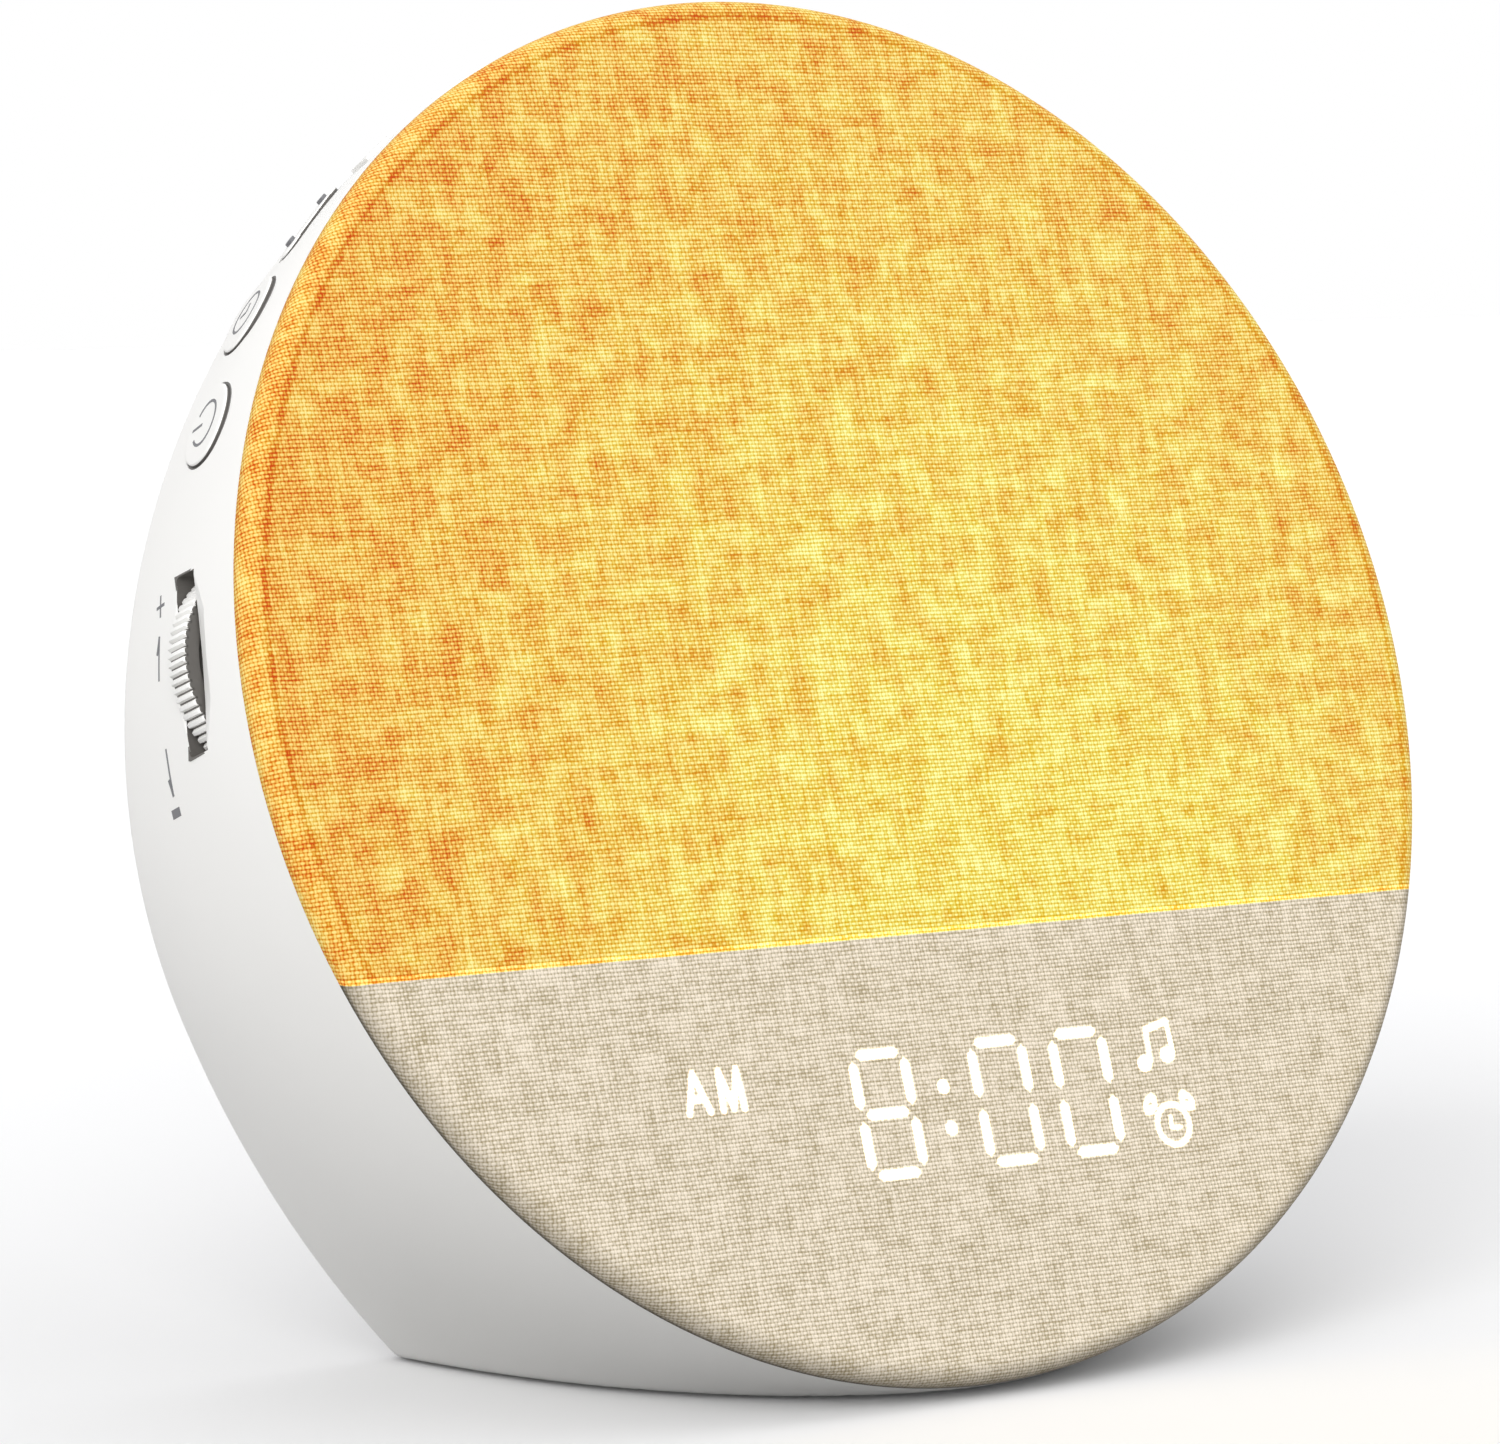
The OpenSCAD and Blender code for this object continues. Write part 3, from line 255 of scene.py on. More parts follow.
def noise(tree, place, scale, detail=2.0, **more):
    return add(tree, "TexNoise", {"Vector": place, "Scale": float(scale), "Detail": detail, **more})


# Relief from a height; the rise is in mm
def bumps(tree, height, strength, rise):
    return add(tree, "Bump", {"Height": height, "Strength": strength, "Distance": rise * mm})


# The node tree of a new material or world, emptied
def emptyTree(owner):
    owner.use_nodes = True
    owner.node_tree.nodes.clear()
    return owner.node_tree


# A material with its shader; values are set straight on the shader, with _ for a space
def newMaterial(name, **values):
    m = bpy.data.materials.new(name)
    tree = emptyTree(m)
    shader = add(tree, "BsdfPrincipled", {k.replace("_", " "): v for k, v in values.items()})
    add(tree, "OutputMaterial", [shader])
    return m, tree, shader


looks = {}


# A moulded or rolled surface: mottled colour in patches about 50 mm across, uneven gloss and a
# fine bump. The grain is in bumps a metre (3200 is one each 0.3 mm, as coarse as it needs to
# show), the bump is its strength and its height in mm.
def plain(slot, name, base, other, grain, bump, rough, **values):
    looks[slot], tree, shader = newMaterial(name, **values)
    place = (add(tree, "TexCoord", {}), "Object")
    broad = noise(tree, place, 18.0, 3.0)
    tint = add(tree, "ValToRGB", [broad])
    for stop, position, text in zip(tint.color_ramp.elements, (0.35, 0.65), (base, other)):
        stop.position, stop.color = position, colour(text)
    gloss = add(tree, "MapRange", [broad, 0.3, 0.7, rough[0], rough[1]])
    relief = bumps(tree, noise(tree, place, grain), *bump)
    for out, into in ((tint, "Base Color"), (gloss, "Roughness"), (relief, "Normal")):
        tree.links.new(out.outputs[0], shader.inputs[into])


# The eye gets a soft satin sheen with a very fine spark-eroded grain
plain("white_plastic", "abs_white_spark_eroded", "f3f2ef", "f0efec", 3200, (0.12, 0.02), (0.42, 0.5))
# A dull black with a faint grey bloom
plain("black_plastic", "abs_black_moulded", "161616", "1e1d1c", 2200, (0.2, 0.02), (0.45, 0.6))
# A clean reflector moulding
plain("tray_white", "polycarbonate_white_reflector", "f6f6f4", "efefec", 1500, (0.1, 0.02), (0.3, 0.4))
# Dark warm grey with the same grain as the housing
plain("grey_plastic", "abs_grey_moulded", "5d5a56", "565350", 3000, (0.2, 0.02), (0.45, 0.55))
# Soft rubber, no shine
plain("foot_rubber", "silicone_rubber_black", "1c1c1c", "242424", 1800, (0.3, 0.03), (0.75, 0.9))
# Pressed steel under a thin black coat: a low gleam along its ribs
plain("basket_steel", "steel_pressed_black_coat", "1d1d1e", "262627", 1600, (0.25, 0.03), (0.4, 0.6))
# Sintered ferrite: near black, matt and a little coarse
plain("magnet", "ferrite_sintered", "26262a", "323236", 1200, (0.4, 0.04), (0.6, 0.8))
# Pressed paper pulp: grey, fibrous and matt
plain("cone_paper", "paper_pulp_pressed", "37373a", "424244", 1400, (0.5, 0.05), (0.8, 0.95))
# Bright zinc: clear reflections, small uneven dull patches
plain("screw_steel", "steel_zinc_plated", "b9bbbd", "a9abae", 900, (0.1, 0.01), (0.22, 0.4), Metallic=1.0)
# Soft grey rubber, matt; the webs in the gaps round the controls wear it as painted shade
plain("key_mat", "silicone_rubber_grey", "6c6a68", "757371", 1800, (0.3, 0.03), (0.75, 0.9))
# Pad-printed ink: an even grey film, a little glossier than rubber
plain("ink", "pad_print_grey", "6b6b6e", "757578", 3000, (0.1, 0.01), (0.5, 0.6))


# Green solder mask: darker over the laminate, paler along the copper underneath
def boardLook():
    looks["board"], tree, shader = newMaterial("solder_mask_green", Roughness=0.3, Coat_Weight=0.4)
    place = (add(tree, "TexCoord", {}), "Object")
    tracks = add(tree, "TexBrick", {"Vector": place, "Color1": colour("1d5a37"), "Color2": colour("1f6039"),
                                    "Mortar": colour("2f7a4d"), "Scale": 220.0, "Mortar Size": 0.03})
    tree.links.new(tracks.outputs[0], shader.inputs["Base Color"])
    relief = bumps(tree, (tracks, "Fac"), 0.3, 0.03)
    tree.links.new(relief.outputs[0], shader.inputs["Normal"])


boardLook()


# Lit pieces behind the cloth: their own colour, and a glow that is up to 15 percent weaker in
# patches, given in patches a metre
def litLook(slot, name, base, glow, strength, patches):
    looks[slot], tree, shader = newMaterial(name, Roughness=0.3)
    shader.inputs["Base Color"].default_value = colour(base)
    shader.inputs["Emission Color"].default_value = colour(glow)
    place = (add(tree, "TexCoord", {}), "Object")
    level = add(tree, "MapRange", [noise(tree, place, patches), 0.3, 0.7, strength * 0.85, strength])
    tree.links.new(level.outputs[0], shader.inputs["Emission Strength"])


# Milky sheet, warm all over
litLook("diffuser", "acrylic_opal_lit", "f7ead0", "ffb14d", 0.9, 30)
# Small yellow squares, much brighter than the sheet
litLook("led", "phosphor_in_white_package", "f2d878", "ffd27a", 2.0, 300)
# Clear strokes, lit white
litLook("display_white", "light_guide_lit", "f4f6ff", "ffffff", 2.0, 200)

for node in nodes.values():
    for i, m in enumerate(node.data.materials):
        key = m.name.split(".")[0]
        if key in looks:
            node.data.materials[i] = looks[key]
print("materials ready")

# The cloth over the front, in mm and degrees
cloth = {
    "edgeR": 2.2, "flat": 77.8, "thick": 0.6,
    "hemR": 72.8, "hemMid": 76.0,  # where the hem ends under the edge, and its middle
    # Rings of points: (first, last, number), (first, end, step) where the marks shine through,
    # then single ones; and those of the inner side
    "rings": ((4, 38, 9), (39.5, 69.0, 0.28), (71, 74, 76.5)), "inside": (60, 40, 20, 4),
    "fan": (-136, -44), "fanStep": 0.27, "restStep": 1.5,  # directions with a fine grid, and the rest
    "sharpFrom": 50,
}

# The lit marks, painted as glow on the cloth, in mm on the face; half widths of lines and strokes
marks = {
    "none": 9.0,  # the value away from every mark
    "digits": [(-8.95, "8"), (7.6, "0"), (19.15, "0")],
    "rows": (-42.55, -49.3, -56.05),  # heights of a digit's flat strokes
    "flat": (3.05, 0.6), "upright": (2.75, 0.68), "across": 3.55,  # strokes: half length, half width
    "colon": [(-0.7, -47.0), (-0.65, -51.7)], "dot": 0.85,
    "letters": [
        ((-34.05, -42.6), (-35.3, -47.0)), ((-34.05, -42.6), (-32.45, -47.0)),
        ((-34.8, -45.5), (-33.1, -45.5)), ((-30.75, -47.0), (-30.6, -42.6)),
        ((-30.6, -42.6), (-29.35, -46.9)), ((-29.35, -46.9), (-28.2, -42.6)),
        ((-28.2, -42.6), (-27.95, -47.0)),
    ],
    "letterW": 0.42,
    "quavers": [
        ((28.15, -46.9), (28.4, -46.85), 0.95), ((31.65, -46.15), (31.9, -46.1), 0.95),
        ((29.2, -46.6), (29.25, -43.05), 0.34), ((32.6, -45.9), (32.5, -42.25), 0.34),
        ((29.35, -43.05), (32.45, -42.3), 0.44),
    ],
    "clock": (30.65, -54.12, 2.3, 2.3, 0.38),  # the alarm sign: middle, radii, half width
    "bells": (30.55, 2.7, -51.6), "bell": (0.85, 0.58, 0.35), "bellTurn": 0.95,
    "hands": [((30.45, -53.25), (30.3, -54.45)), ((30.3, -54.45), (31.6, -54.5))], "handW": 0.3,
}


# Signed distance to a bar with pointed ends: the larger of that to its long sides and that to
# its two 45 degree points
def bar(x, y, cx, cy, half, w, upright):
    u, v = (y - cy, x - cx) if upright else (x - cx, y - cy)
    return np.maximum(np.abs(v) - w, (np.abs(u) + np.abs(v) - half) * 0.7071)


# Signed distance to a round-ended line: that to its nearest point, less its half width
def line(x, y, a, b, w):
    dx, dy = b[0] - a[0], b[1] - a[1]
    k = np.clip(((x - a[0]) * dx + (y - a[1]) * dy) / max(dx * dx + dy * dy, 1e-9), 0, 1)
    return np.hypot(x - a[0] - k * dx, y - a[1] - k * dy) - w


# Signed distance to a ring or oval: how far its scaled radius is from one, less its half width
def ring(x, y, cx, cy, rx, ry, w, turn=0.0):
    u = (x - cx) * np.cos(turn) + (y - cy) * np.sin(turn)
    v = (y - cy) * np.cos(turn) - (x - cx) * np.sin(turn)
    return np.abs(np.hypot(u / rx, v / ry) - 1) * min(rx, ry) - w


# Distance to the nearest mark, below zero inside it
def markDistance(x, y):
    d = np.full(x.shape, marks["none"])
    top, mid, low = marks["rows"]
    for cx, sign in marks["digits"]:
        for cy in (top, mid, low):
            if sign == "8" or cy != mid:
                d = np.minimum(d, bar(x, y, cx, cy, *marks["flat"], False))
        for side in (-1, 1):
            for cy in ((top + mid) / 2, (mid + low) / 2):
                d = np.minimum(d, bar(x, y, cx + side * marks["across"], cy, *marks["upright"], True))
    lines = [(c, c, marks["dot"]) for c in marks["colon"]]
    lines += [(a, b, marks["letterW"]) for a, b in marks["letters"]] + marks["quavers"]
    lines += [(a, b, marks["handW"]) for a, b in marks["hands"]]
    for a, b, w in lines:
        d = np.minimum(d, line(x, y, a, b, w))
    d = np.minimum(d, ring(x, y, *marks["clock"]))
    middle, apart, height = marks["bells"]
    for side in (-1, 1):
        bell = ring(x, y, middle + side * apart, height, *marks["bell"], side * -marks["bellTurn"])
        d = np.minimum(d, bell)
    return d


# Profile of the cloth as radius and depth: across the front, round the edge, along the side and
# under the hem, then back inside at the cloth's thickness; and which point is the hem's end
def clothProfile():
    (first, last, number), (lo, hi, step), single = cloth["rings"]
    front = [np.linspace(first, last, number), np.arange(lo, hi, step), single, [cloth["flat"]]]
    front = np.concatenate(front)
    turn = np.radians(np.arange(9, 91, 9))
    e, f, k = cloth["edgeR"], cloth["flat"], cloth["edgeR"] - cloth["thick"]
    hem = [form["faceR"], cloth["hemMid"], cloth["hemR"], cloth["hemR"], cloth["hemMid"]]
    r = np.concatenate([front, f + e * np.sin(turn), hem])
    s = np.concatenate([0 * front, e - e * np.cos(turn), [form["seam"]] * 3, [e, e]])
    hemEnd = len(r) - 2
    back = turn[::-1]
    r = np.concatenate([r, f + k * np.sin(back), [f], cloth["inside"]])
    s = np.concatenate([s, e - k * np.cos(back), np.full(1 + len(cloth["inside"]), cloth["thick"])])
    return r, s, hemEnd


# The profile is carried round the face's axis. Its thread map lays it flat: each point lies as
# far from the middle as the way along the profile is long; the inner side keeps its radius.
def buildCloth(material):
    r, s, hemEnd = clothProfile()
    lo, hi = cloth["fan"]
    a = np.concatenate([np.arange(lo, hi, cloth["fanStep"]), np.arange(hi, lo + 360, cloth["restStep"])])
    a = np.radians(a)
    n, cols = len(r), len(a)
    length = np.cumsum(np.concatenate([[r[0]], np.hypot(np.diff(r), np.diff(s))]))
    length[hemEnd + 1:] = r[hemEnd + 1:]
    x, y = r[:, None] * np.cos(a), r[:, None] * np.sin(a)
    grid = onFace(x, y, s[:, None])
    poles = onFace([0, 0], [0, 0], [0, cloth["thick"]])
    faces = gridFaces(n, cols, ("open", "open"))
    j = np.arange(cols)
    k = (j + 1) % cols
    faces += np.stack([np.full(cols, n * cols), k, j], -1).tolist()
    faces += np.stack([np.full(cols, n * cols + 1), (n - 1) * cols + j, (n - 1) * cols + k], -1).tolist()
    points = np.concatenate([grid.reshape(-1, 3), poles])
    mesh = bpy.data.meshes.new("fabric_face")
    mesh.from_pydata(points.tolist(), [], faces)
    across = np.stack([length[:, None] * np.cos(a), length[:, None] * np.sin(a)], -1).reshape(-1, 2)
    across = np.concatenate([across, np.zeros((2, 2))]) * mm
    corner = fetch(mesh.loops, "vertex_index", kind=int)
    layer = mesh.uv_layers.new(name="thread")
    layer.data.foreach_set("uv", across[corner].ravel())
    d = np.concatenate([markDistance(x, y).ravel(), np.full(2, marks["none"])])
    inner = np.concatenate([np.repeat(np.arange(n) > hemEnd, cols), [False, True]])
    mark = mesh.attributes.new("mark", "FLOAT", "POINT")
    mark.data.foreach_set("value", np.where(inner, marks["none"], d).astype(np.float32))
    bm = bmesh.new()
    bm.from_mesh(mesh)
    bmesh.ops.recalc_face_normals(bm, faces=bm.faces)
    bm.to_mesh(mesh)
    bm.free()
    shade(mesh, cloth["sharpFrom"])
    mesh.materials.append(material)
    piece = newObject("fabric_face", mesh)
    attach(piece, "clock")
    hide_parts("fabric_cover")


# The weave, the light behind it and their colours. Two tones are (gap at the rim, gap in the
# middle of the glow, thread at the rim, thread in the middle).
weave = {
    "pitch": 0.45,  # mm from one thread to the next
    "drift": 130.0, "driftBy": 1.1,  # noise scale of the threads' slow drift, and its reach in threads
    "middle": 0.67, "swing": 0.33, "ridge": 0.75,  # height of a thread, its rise and its roundness
    "bump": (0.5, 0.12),  # strength, and height in mm
    "warp": 0.74,  # brightness of the warp beside the weft
    "slubSize": (0.11, 0.9), "mottleSize": (0.07, 0.17),  # noise a thread, along it and across
    "grainSize": 1400.0,
    "gain": 1.5, "offset": -0.28,  # from a thread's height to its tone
    "slubs": 0.85, "mottle": 0.9, "grain": 0.7, "fold": -0.3,  # what each adds to the tone
    "foldAt": -0.1, "foldHalf": 0.55,  # mm from the end of the flat face; painted shade along the fold
    "seamFrom": 81.0, "seamTo": 81.6, "seamShade": 0.7, "seamLit": -0.5,  # mm along the cloth, and painted shade in the seam, less above the horizon
    "turnFrom": 77.4, "turnTo": 80.6, "turnShade": 0.68,  # painted shade where the unlit cloth turns away round the edge
    "glowAt": (0.018, -0.036, 0.0), "squat": (1.0, 0.6, 1.0), "glowFrom": 0.026, "glowTo": 0.11,
    "mottleFade": 2.0,  # how far the mottle moves the glow's colour
    "glow": 0.42, "line": 0.25, "lineHalf": 0.3,  # strength, and that of the line at the horizon
    "lit": 1.1, "litFrom": 0.16, "litTo": -0.12,  # the marks' strength and soft edge in mm
    "pale": (1.0, 1.0, 0.05),  # share of each colour that a thread has below its crest
    "linen": ("9f9170", "eee2cf"),
    # Colours of the cloth above the horizon, where the glow from behind is painted into the base colour too
    "glowBaseTones": ("9c2400", "a58205", "c1a55d", "c1c17c"),
    "glowTones": ("c85a00", "dca000", "ffdc83", "ffffbf"),
}


# Plain weave: each thread is a rounded ridge that passes over and under its neighbours in turn,
# the sine of the way across it times a cosine of the way along it. The warm light from behind
# above the horizon, and the white marks below it, are painted as the cloth's own glow.
def clothLook():
    material, tree, shader = newMaterial("linen_plain_weave_backlit", Roughness=0.9, Sheen_Weight=0.04,
                                         Specular_IOR_Level=0.2)

    def calc(op, *ins):
        return add(tree, "Math", list(ins), operation=op)

    def product(p, q):
        return calc("MULTIPLY", p, q)

    def less(p, q):
        return calc("SUBTRACT", p, q)

    def scaled(value, by, plus):
        return calc("MULTIPLY_ADD", value, by, plus)

    def blend(share, low, high):
        return add(tree, "MixRGB", [share, low, high])

    def times(value, by):
        return add(tree, "VectorMath", [value, by], operation="MULTIPLY")

    uv = add(tree, "UVMap", {}, uv_map="thread")
    parts = add(tree, "SeparateXYZ", [uv])
    u, v = (parts, "X"), (parts, "Y")
    # Place in threads, with a slow drift of about a quarter of a pitch
    drift = noise(tree, uv, weave["drift"], 4.0, Roughness=0.6)
    wander = add(tree, "SeparateXYZ", [(drift, "Color")])
    per = 1 / (weave["pitch"] * mm)
    a = scaled((wander, "X"), weave["driftBy"], product(u, per))
    b = scaled((wander, "Y"), weave["driftBy"], product(v, per))
    ia, ib = calc("FLOOR", a), calc("FLOOR", b)

    def thread(along, across, number, sign):
        ridge = calc("SINE", product(calc("FRACT", across), np.pi))
        phase = product(calc("ADD", less(along, 0.5), number), np.pi)
        lift = scaled(calc("COSINE", phase), sign * weave["swing"], weave["middle"])
        return product(calc("POWER", ridge, weave["ridge"]), lift)

    def streak(along, across, seed, size):
        place = [product(along, size[0]), product(across, size[1]), seed]
        return noise(tree, add(tree, "CombineXYZ", place), 1.0)

    warp = thread(b, a, ia, 1)
    weft = thread(a, b, ib, -1)
    height = calc("MAXIMUM", warp, weft)
    bright = calc("MAXIMUM", product(warp, weave["warp"]), weft)
    slubs = calc("ADD", streak(b, a, 3.0, weave["slubSize"]), streak(a, b, 11.0, weave["slubSize"]))
    mottle = calc("ADD", streak(a, b, 23.0, weave["mottleSize"]), streak(b, a, 31.0, weave["mottleSize"]))
    mottle = less(product(mottle, 0.5), 0.5)
    grain = noise(tree, uv, weave["grainSize"])
    # Painted shade along the cloth's fold at the edge of the face, and in the seam against the housing
    reach = product((add(tree, "VectorMath", [uv], operation="LENGTH"), "Value"), 1 / mm)
    fold = product(less(reach, cloth["flat"] + weave["foldAt"]), 1 / weave["foldHalf"])
    fold = calc("MAXIMUM", less(1.0, product(fold, fold)), 0.0)
    above = calc("GREATER_THAN", v, form["horizon"] * mm)
    # The tone from the threads' height gives the weave's pattern, with painted shade in the gaps and a
    # painted highlight on the crests
    tone = scaled(bright, weave["gain"], weave["offset"])
    for value, by in ((less(slubs, 1.0), "slubs"), (mottle, "mottle"), (less(grain, 0.5), "grain"),
                      (product(fold, above), "fold")):
        tone = scaled(value, weave[by], tone)
    tone = add(tree, "Clamp", [tone, 0.0, 1.0])
    # Painted shade in the seam against the housing darkens the cloth and dims its glow
    seam = add(tree, "MapRange", [reach, weave["seamFrom"], weave["seamTo"], 0.0, 1.0])
    seam = less(1.0, product(seam, scaled(above, weave["seamLit"], weave["seamShade"])))
    # Painted shade on the unlit cloth as it turns away round the edge
    turned = add(tree, "MapRange", [reach, weave["turnFrom"], weave["turnTo"], 1.0, weave["turnShade"]])

    # The painted glow is brightest above the middle of the horizon, more orange towards the rim
    off = add(tree, "VectorMath", [times(uv, weave["squat"]), weave["glowAt"]], operation="DISTANCE")
    fade = add(tree, "MapRange", [(off, "Value"), weave["glowFrom"], weave["glowTo"], 1.0, 0.0])
    fade = add(tree, "Clamp", [scaled(mottle, weave["mottleFade"], fade), 0.0, 1.0])

    # From the gap's colour to the thread's with the tone, painted shade in the gaps; only the crests turn
    # pale, a painted highlight
    def twoTone(gapRim, gapMid, topRim, topMid):
        gap = blend(fade, colour(gapRim), colour(gapMid))
        top = blend(fade, colour(topRim), colour(topMid))
        return blend(tone, gap, blend(tone, times(top, weave["pale"]), top))

    linen = times(blend(tone, *[colour(text) for text in weave["linen"]]), turned)
    # Above the horizon the base colour carries painted glow, following the glow's fade
    base = times(blend(above, linen, twoTone(*weave["glowBaseTones"])), seam)
    middle = (form["horizon"] + weave["lineHalf"]) * mm
    thin = calc("LESS_THAN", calc("ABSOLUTE", less(v, middle)), weave["lineHalf"] * mm)
    level = scaled(thin, weave["line"], weave["glow"])
    level = product(product(above, seam), level)
    mark = add(tree, "Attribute", {}, attribute_name="mark")
    lit = add(tree, "MapRange", [(mark, "Fac"), weave["litFrom"], weave["litTo"], 0.0, 1.0])
    tint = blend(lit, twoTone(*weave["glowTones"]), colour("ffffff"))
    power = scaled(lit, weave["lit"], level)
    relief = bumps(tree, height, *weave["bump"])
    for out, into in ((base, "Base Color"), (tint, "Emission Color"), (power, "Emission Strength"),
                      (relief, "Normal")):
        tree.links.new(out.outputs[0], shader.inputs[into])
    return material


buildCloth(clothLook())
print("cloth ready")

# The small bevel of moulded edges: faces within `flat` degrees are joined first, and edges
# sharper than `over` degrees are taken off
bevelling = {"width": 0.2, "flat": 0.8, "over": 40, "segments": 2}


# A copy of a moulded piece with its doubled points merged; flat areas keep flat and round ones
# turn smooth, and where asked the edges are bevelled
def smoothCopy(node, body, bevel=False, more=()):
    mesh = nodes[node].data.copy()
    mesh.materials.clear()
    materials = [looks["white_plastic"], *more]
    piece = finishPiece(mesh, node + "_shown", body, materials, replaces=(node,))
    if bevel:
        bm = bmesh.new()
        bm.from_mesh(mesh)
        flat = np.radians(bevelling["flat"])
        bmesh.ops.dissolve_limit(bm, angle_limit=flat, verts=bm.verts, edges=bm.edges)
        bm.to_mesh(mesh)
        bm.free()
        shade(mesh)
        mod = piece.modifiers.new("edge", "BEVEL")
        mod.width, mod.segments = bevelling["width"] * mm, bevelling["segments"]
        mod.limit_method, mod.angle_limit = "ANGLE", np.radians(bevelling["over"])
    return piece


# Middle of each face in mm from the middle of the clock's face, its normal and its corners
def faceData(mesh):
    mid, normal = fetch(mesh.polygons, "center", 3), fetch(mesh.polygons, "normal", 3)
    return mid / mm - form["centre"], normal, fetch(mesh.polygons, "loop_total", kind=int)


# The shallow finger dish round the wheel's slot: its direction, the wall's distance from the
# axis there, its depth, radius, place behind the face, half width and ramps; the slot's length
dish = {
    "at": np.radians(173.5), "wall": 79.6, "d": 0.8, "r": 150.0, "s": 14.0,
    "half": 2.05, "ramp": 2.5, "slot": 20.0,
}


# Outward normal of the dish: towards the cutter's axis, tipped to the middle on its ramps
def dishNormal(p, tilt):
    up = leaned(p)[0]
    far = dish["wall"] - dish["d"] + dish["r"]
    toX, toY = far * np.cos(dish["at"]) - p[:, 0], far * np.sin(dish["at"]) - up
    away = np.hypot(toX, toY)
    n = np.stack([toX / away, toY / away * sinL + tilt * cosL, toY / away * cosL - tilt * sinL], -1)
    return n / np.linalg.norm(n, axis=1, keepdims=True), away


# How near a face has to be to a surface to belong to it, in mm and as the cosine of its turn
limits = {
    "wall": 0.45, "wallLow": 1.0, "low": 8,  # off the wall's formula, and lower than this near the foot
    "wallTurn": 0.8, "dishTurn": 0.9, "underTurn": 0.99,
    "touch": 0.02, "dishTouch": 0.004, "ramp": 1e-3, "outside": 70,
}


# Which faces belong to the outer wall (close to its formula and turned like it), to the flat
# underside, to the dish and to the sides of the wheel's slot
def sortFaces(mesh):
    mid, normal, total = faceData(mesh)
    a, t = wallPlace(mid)
    up, deep = leaned(mid)
    aside = np.abs(deep - dish["s"])
    past = np.clip(aside - dish["half"], 0, None)
    tilt = np.where(past > limits["ramp"], -np.sign(deep - dish["s"]) * dish["d"] / dish["ramp"], 0)
    facing, away = dishNormal(mid, tilt)
    shallow = dish["r"] - dish["d"] * past / dish["ramp"]
    zone = (past < dish["ramp"]) & (away < shallow + limits["dishTouch"])
    under = (mid[:, 2] < form["floor"] + limits["touch"]) & (normal[:, 2] < -limits["underTurn"])
    near = np.linalg.norm(mid - wallPoint(a, t), axis=1)
    near = near < np.where(mid[:, 2] < form["floor"] + limits["low"], limits["wallLow"], limits["wall"])
    near &= np.einsum("ij,ij->i", normal, wallNormal(a, t)) > limits["wallTurn"]
    side = up * np.cos(dish["at"]) - mid[:, 0] * np.sin(dish["at"])
    outside = mid[:, 0] * np.cos(dish["at"]) + up * np.sin(dish["at"]) > limits["outside"]
    inDish = zone & (np.einsum("ij,ij->i", normal, facing) > limits["dishTurn"]) & outside
    slot = (aside < dish["half"] + limits["touch"]) & outside
    slot &= np.abs(side) < dish["slot"] / 2 + limits["touch"]
    return {"wall": (near & ~zone) | under, "under": under, "dish": inDish, "tilt": tilt,
            "slot": slot & ~inDish & ~near, "total": total}


# Cuts the long edges of chosen faces into shorter ones
def cutFiner(mesh, chosen, longest, cuts):
    bm = bmesh.new()
    bm.from_mesh(mesh)
    bm.faces.ensure_lookup_table()
    faces = [bm.faces[i] for i in np.nonzero(chosen)[0]]
    edges = list({e for f in faces for e in f.edges if e.calc_length() > longest * mm})
    bmesh.ops.subdivide_edges(bm, edges=edges, cuts=cuts, use_grid_fill=True)
    bmesh.ops.triangulate(bm, faces=[f for f in bm.faces if len(f.verts) > 4])
    bm.to_mesh(mesh)
    bm.free()


# How the housing is refined, in mm
housing = {
    "longest": 1.2, "cuts": 3,  # of the wall's edges
    "low": 2.5, "lowLongest": 0.7, "lowCuts": 1,  # once more, lower than this above the foot
    "footHalf": 60, "footLift": 1.2,  # the zone in which points move up or down only
    "strayLift": 2.0, "strayOff": 0.4, "shift": 0.1,  # a little higher, if so far off the wall
}


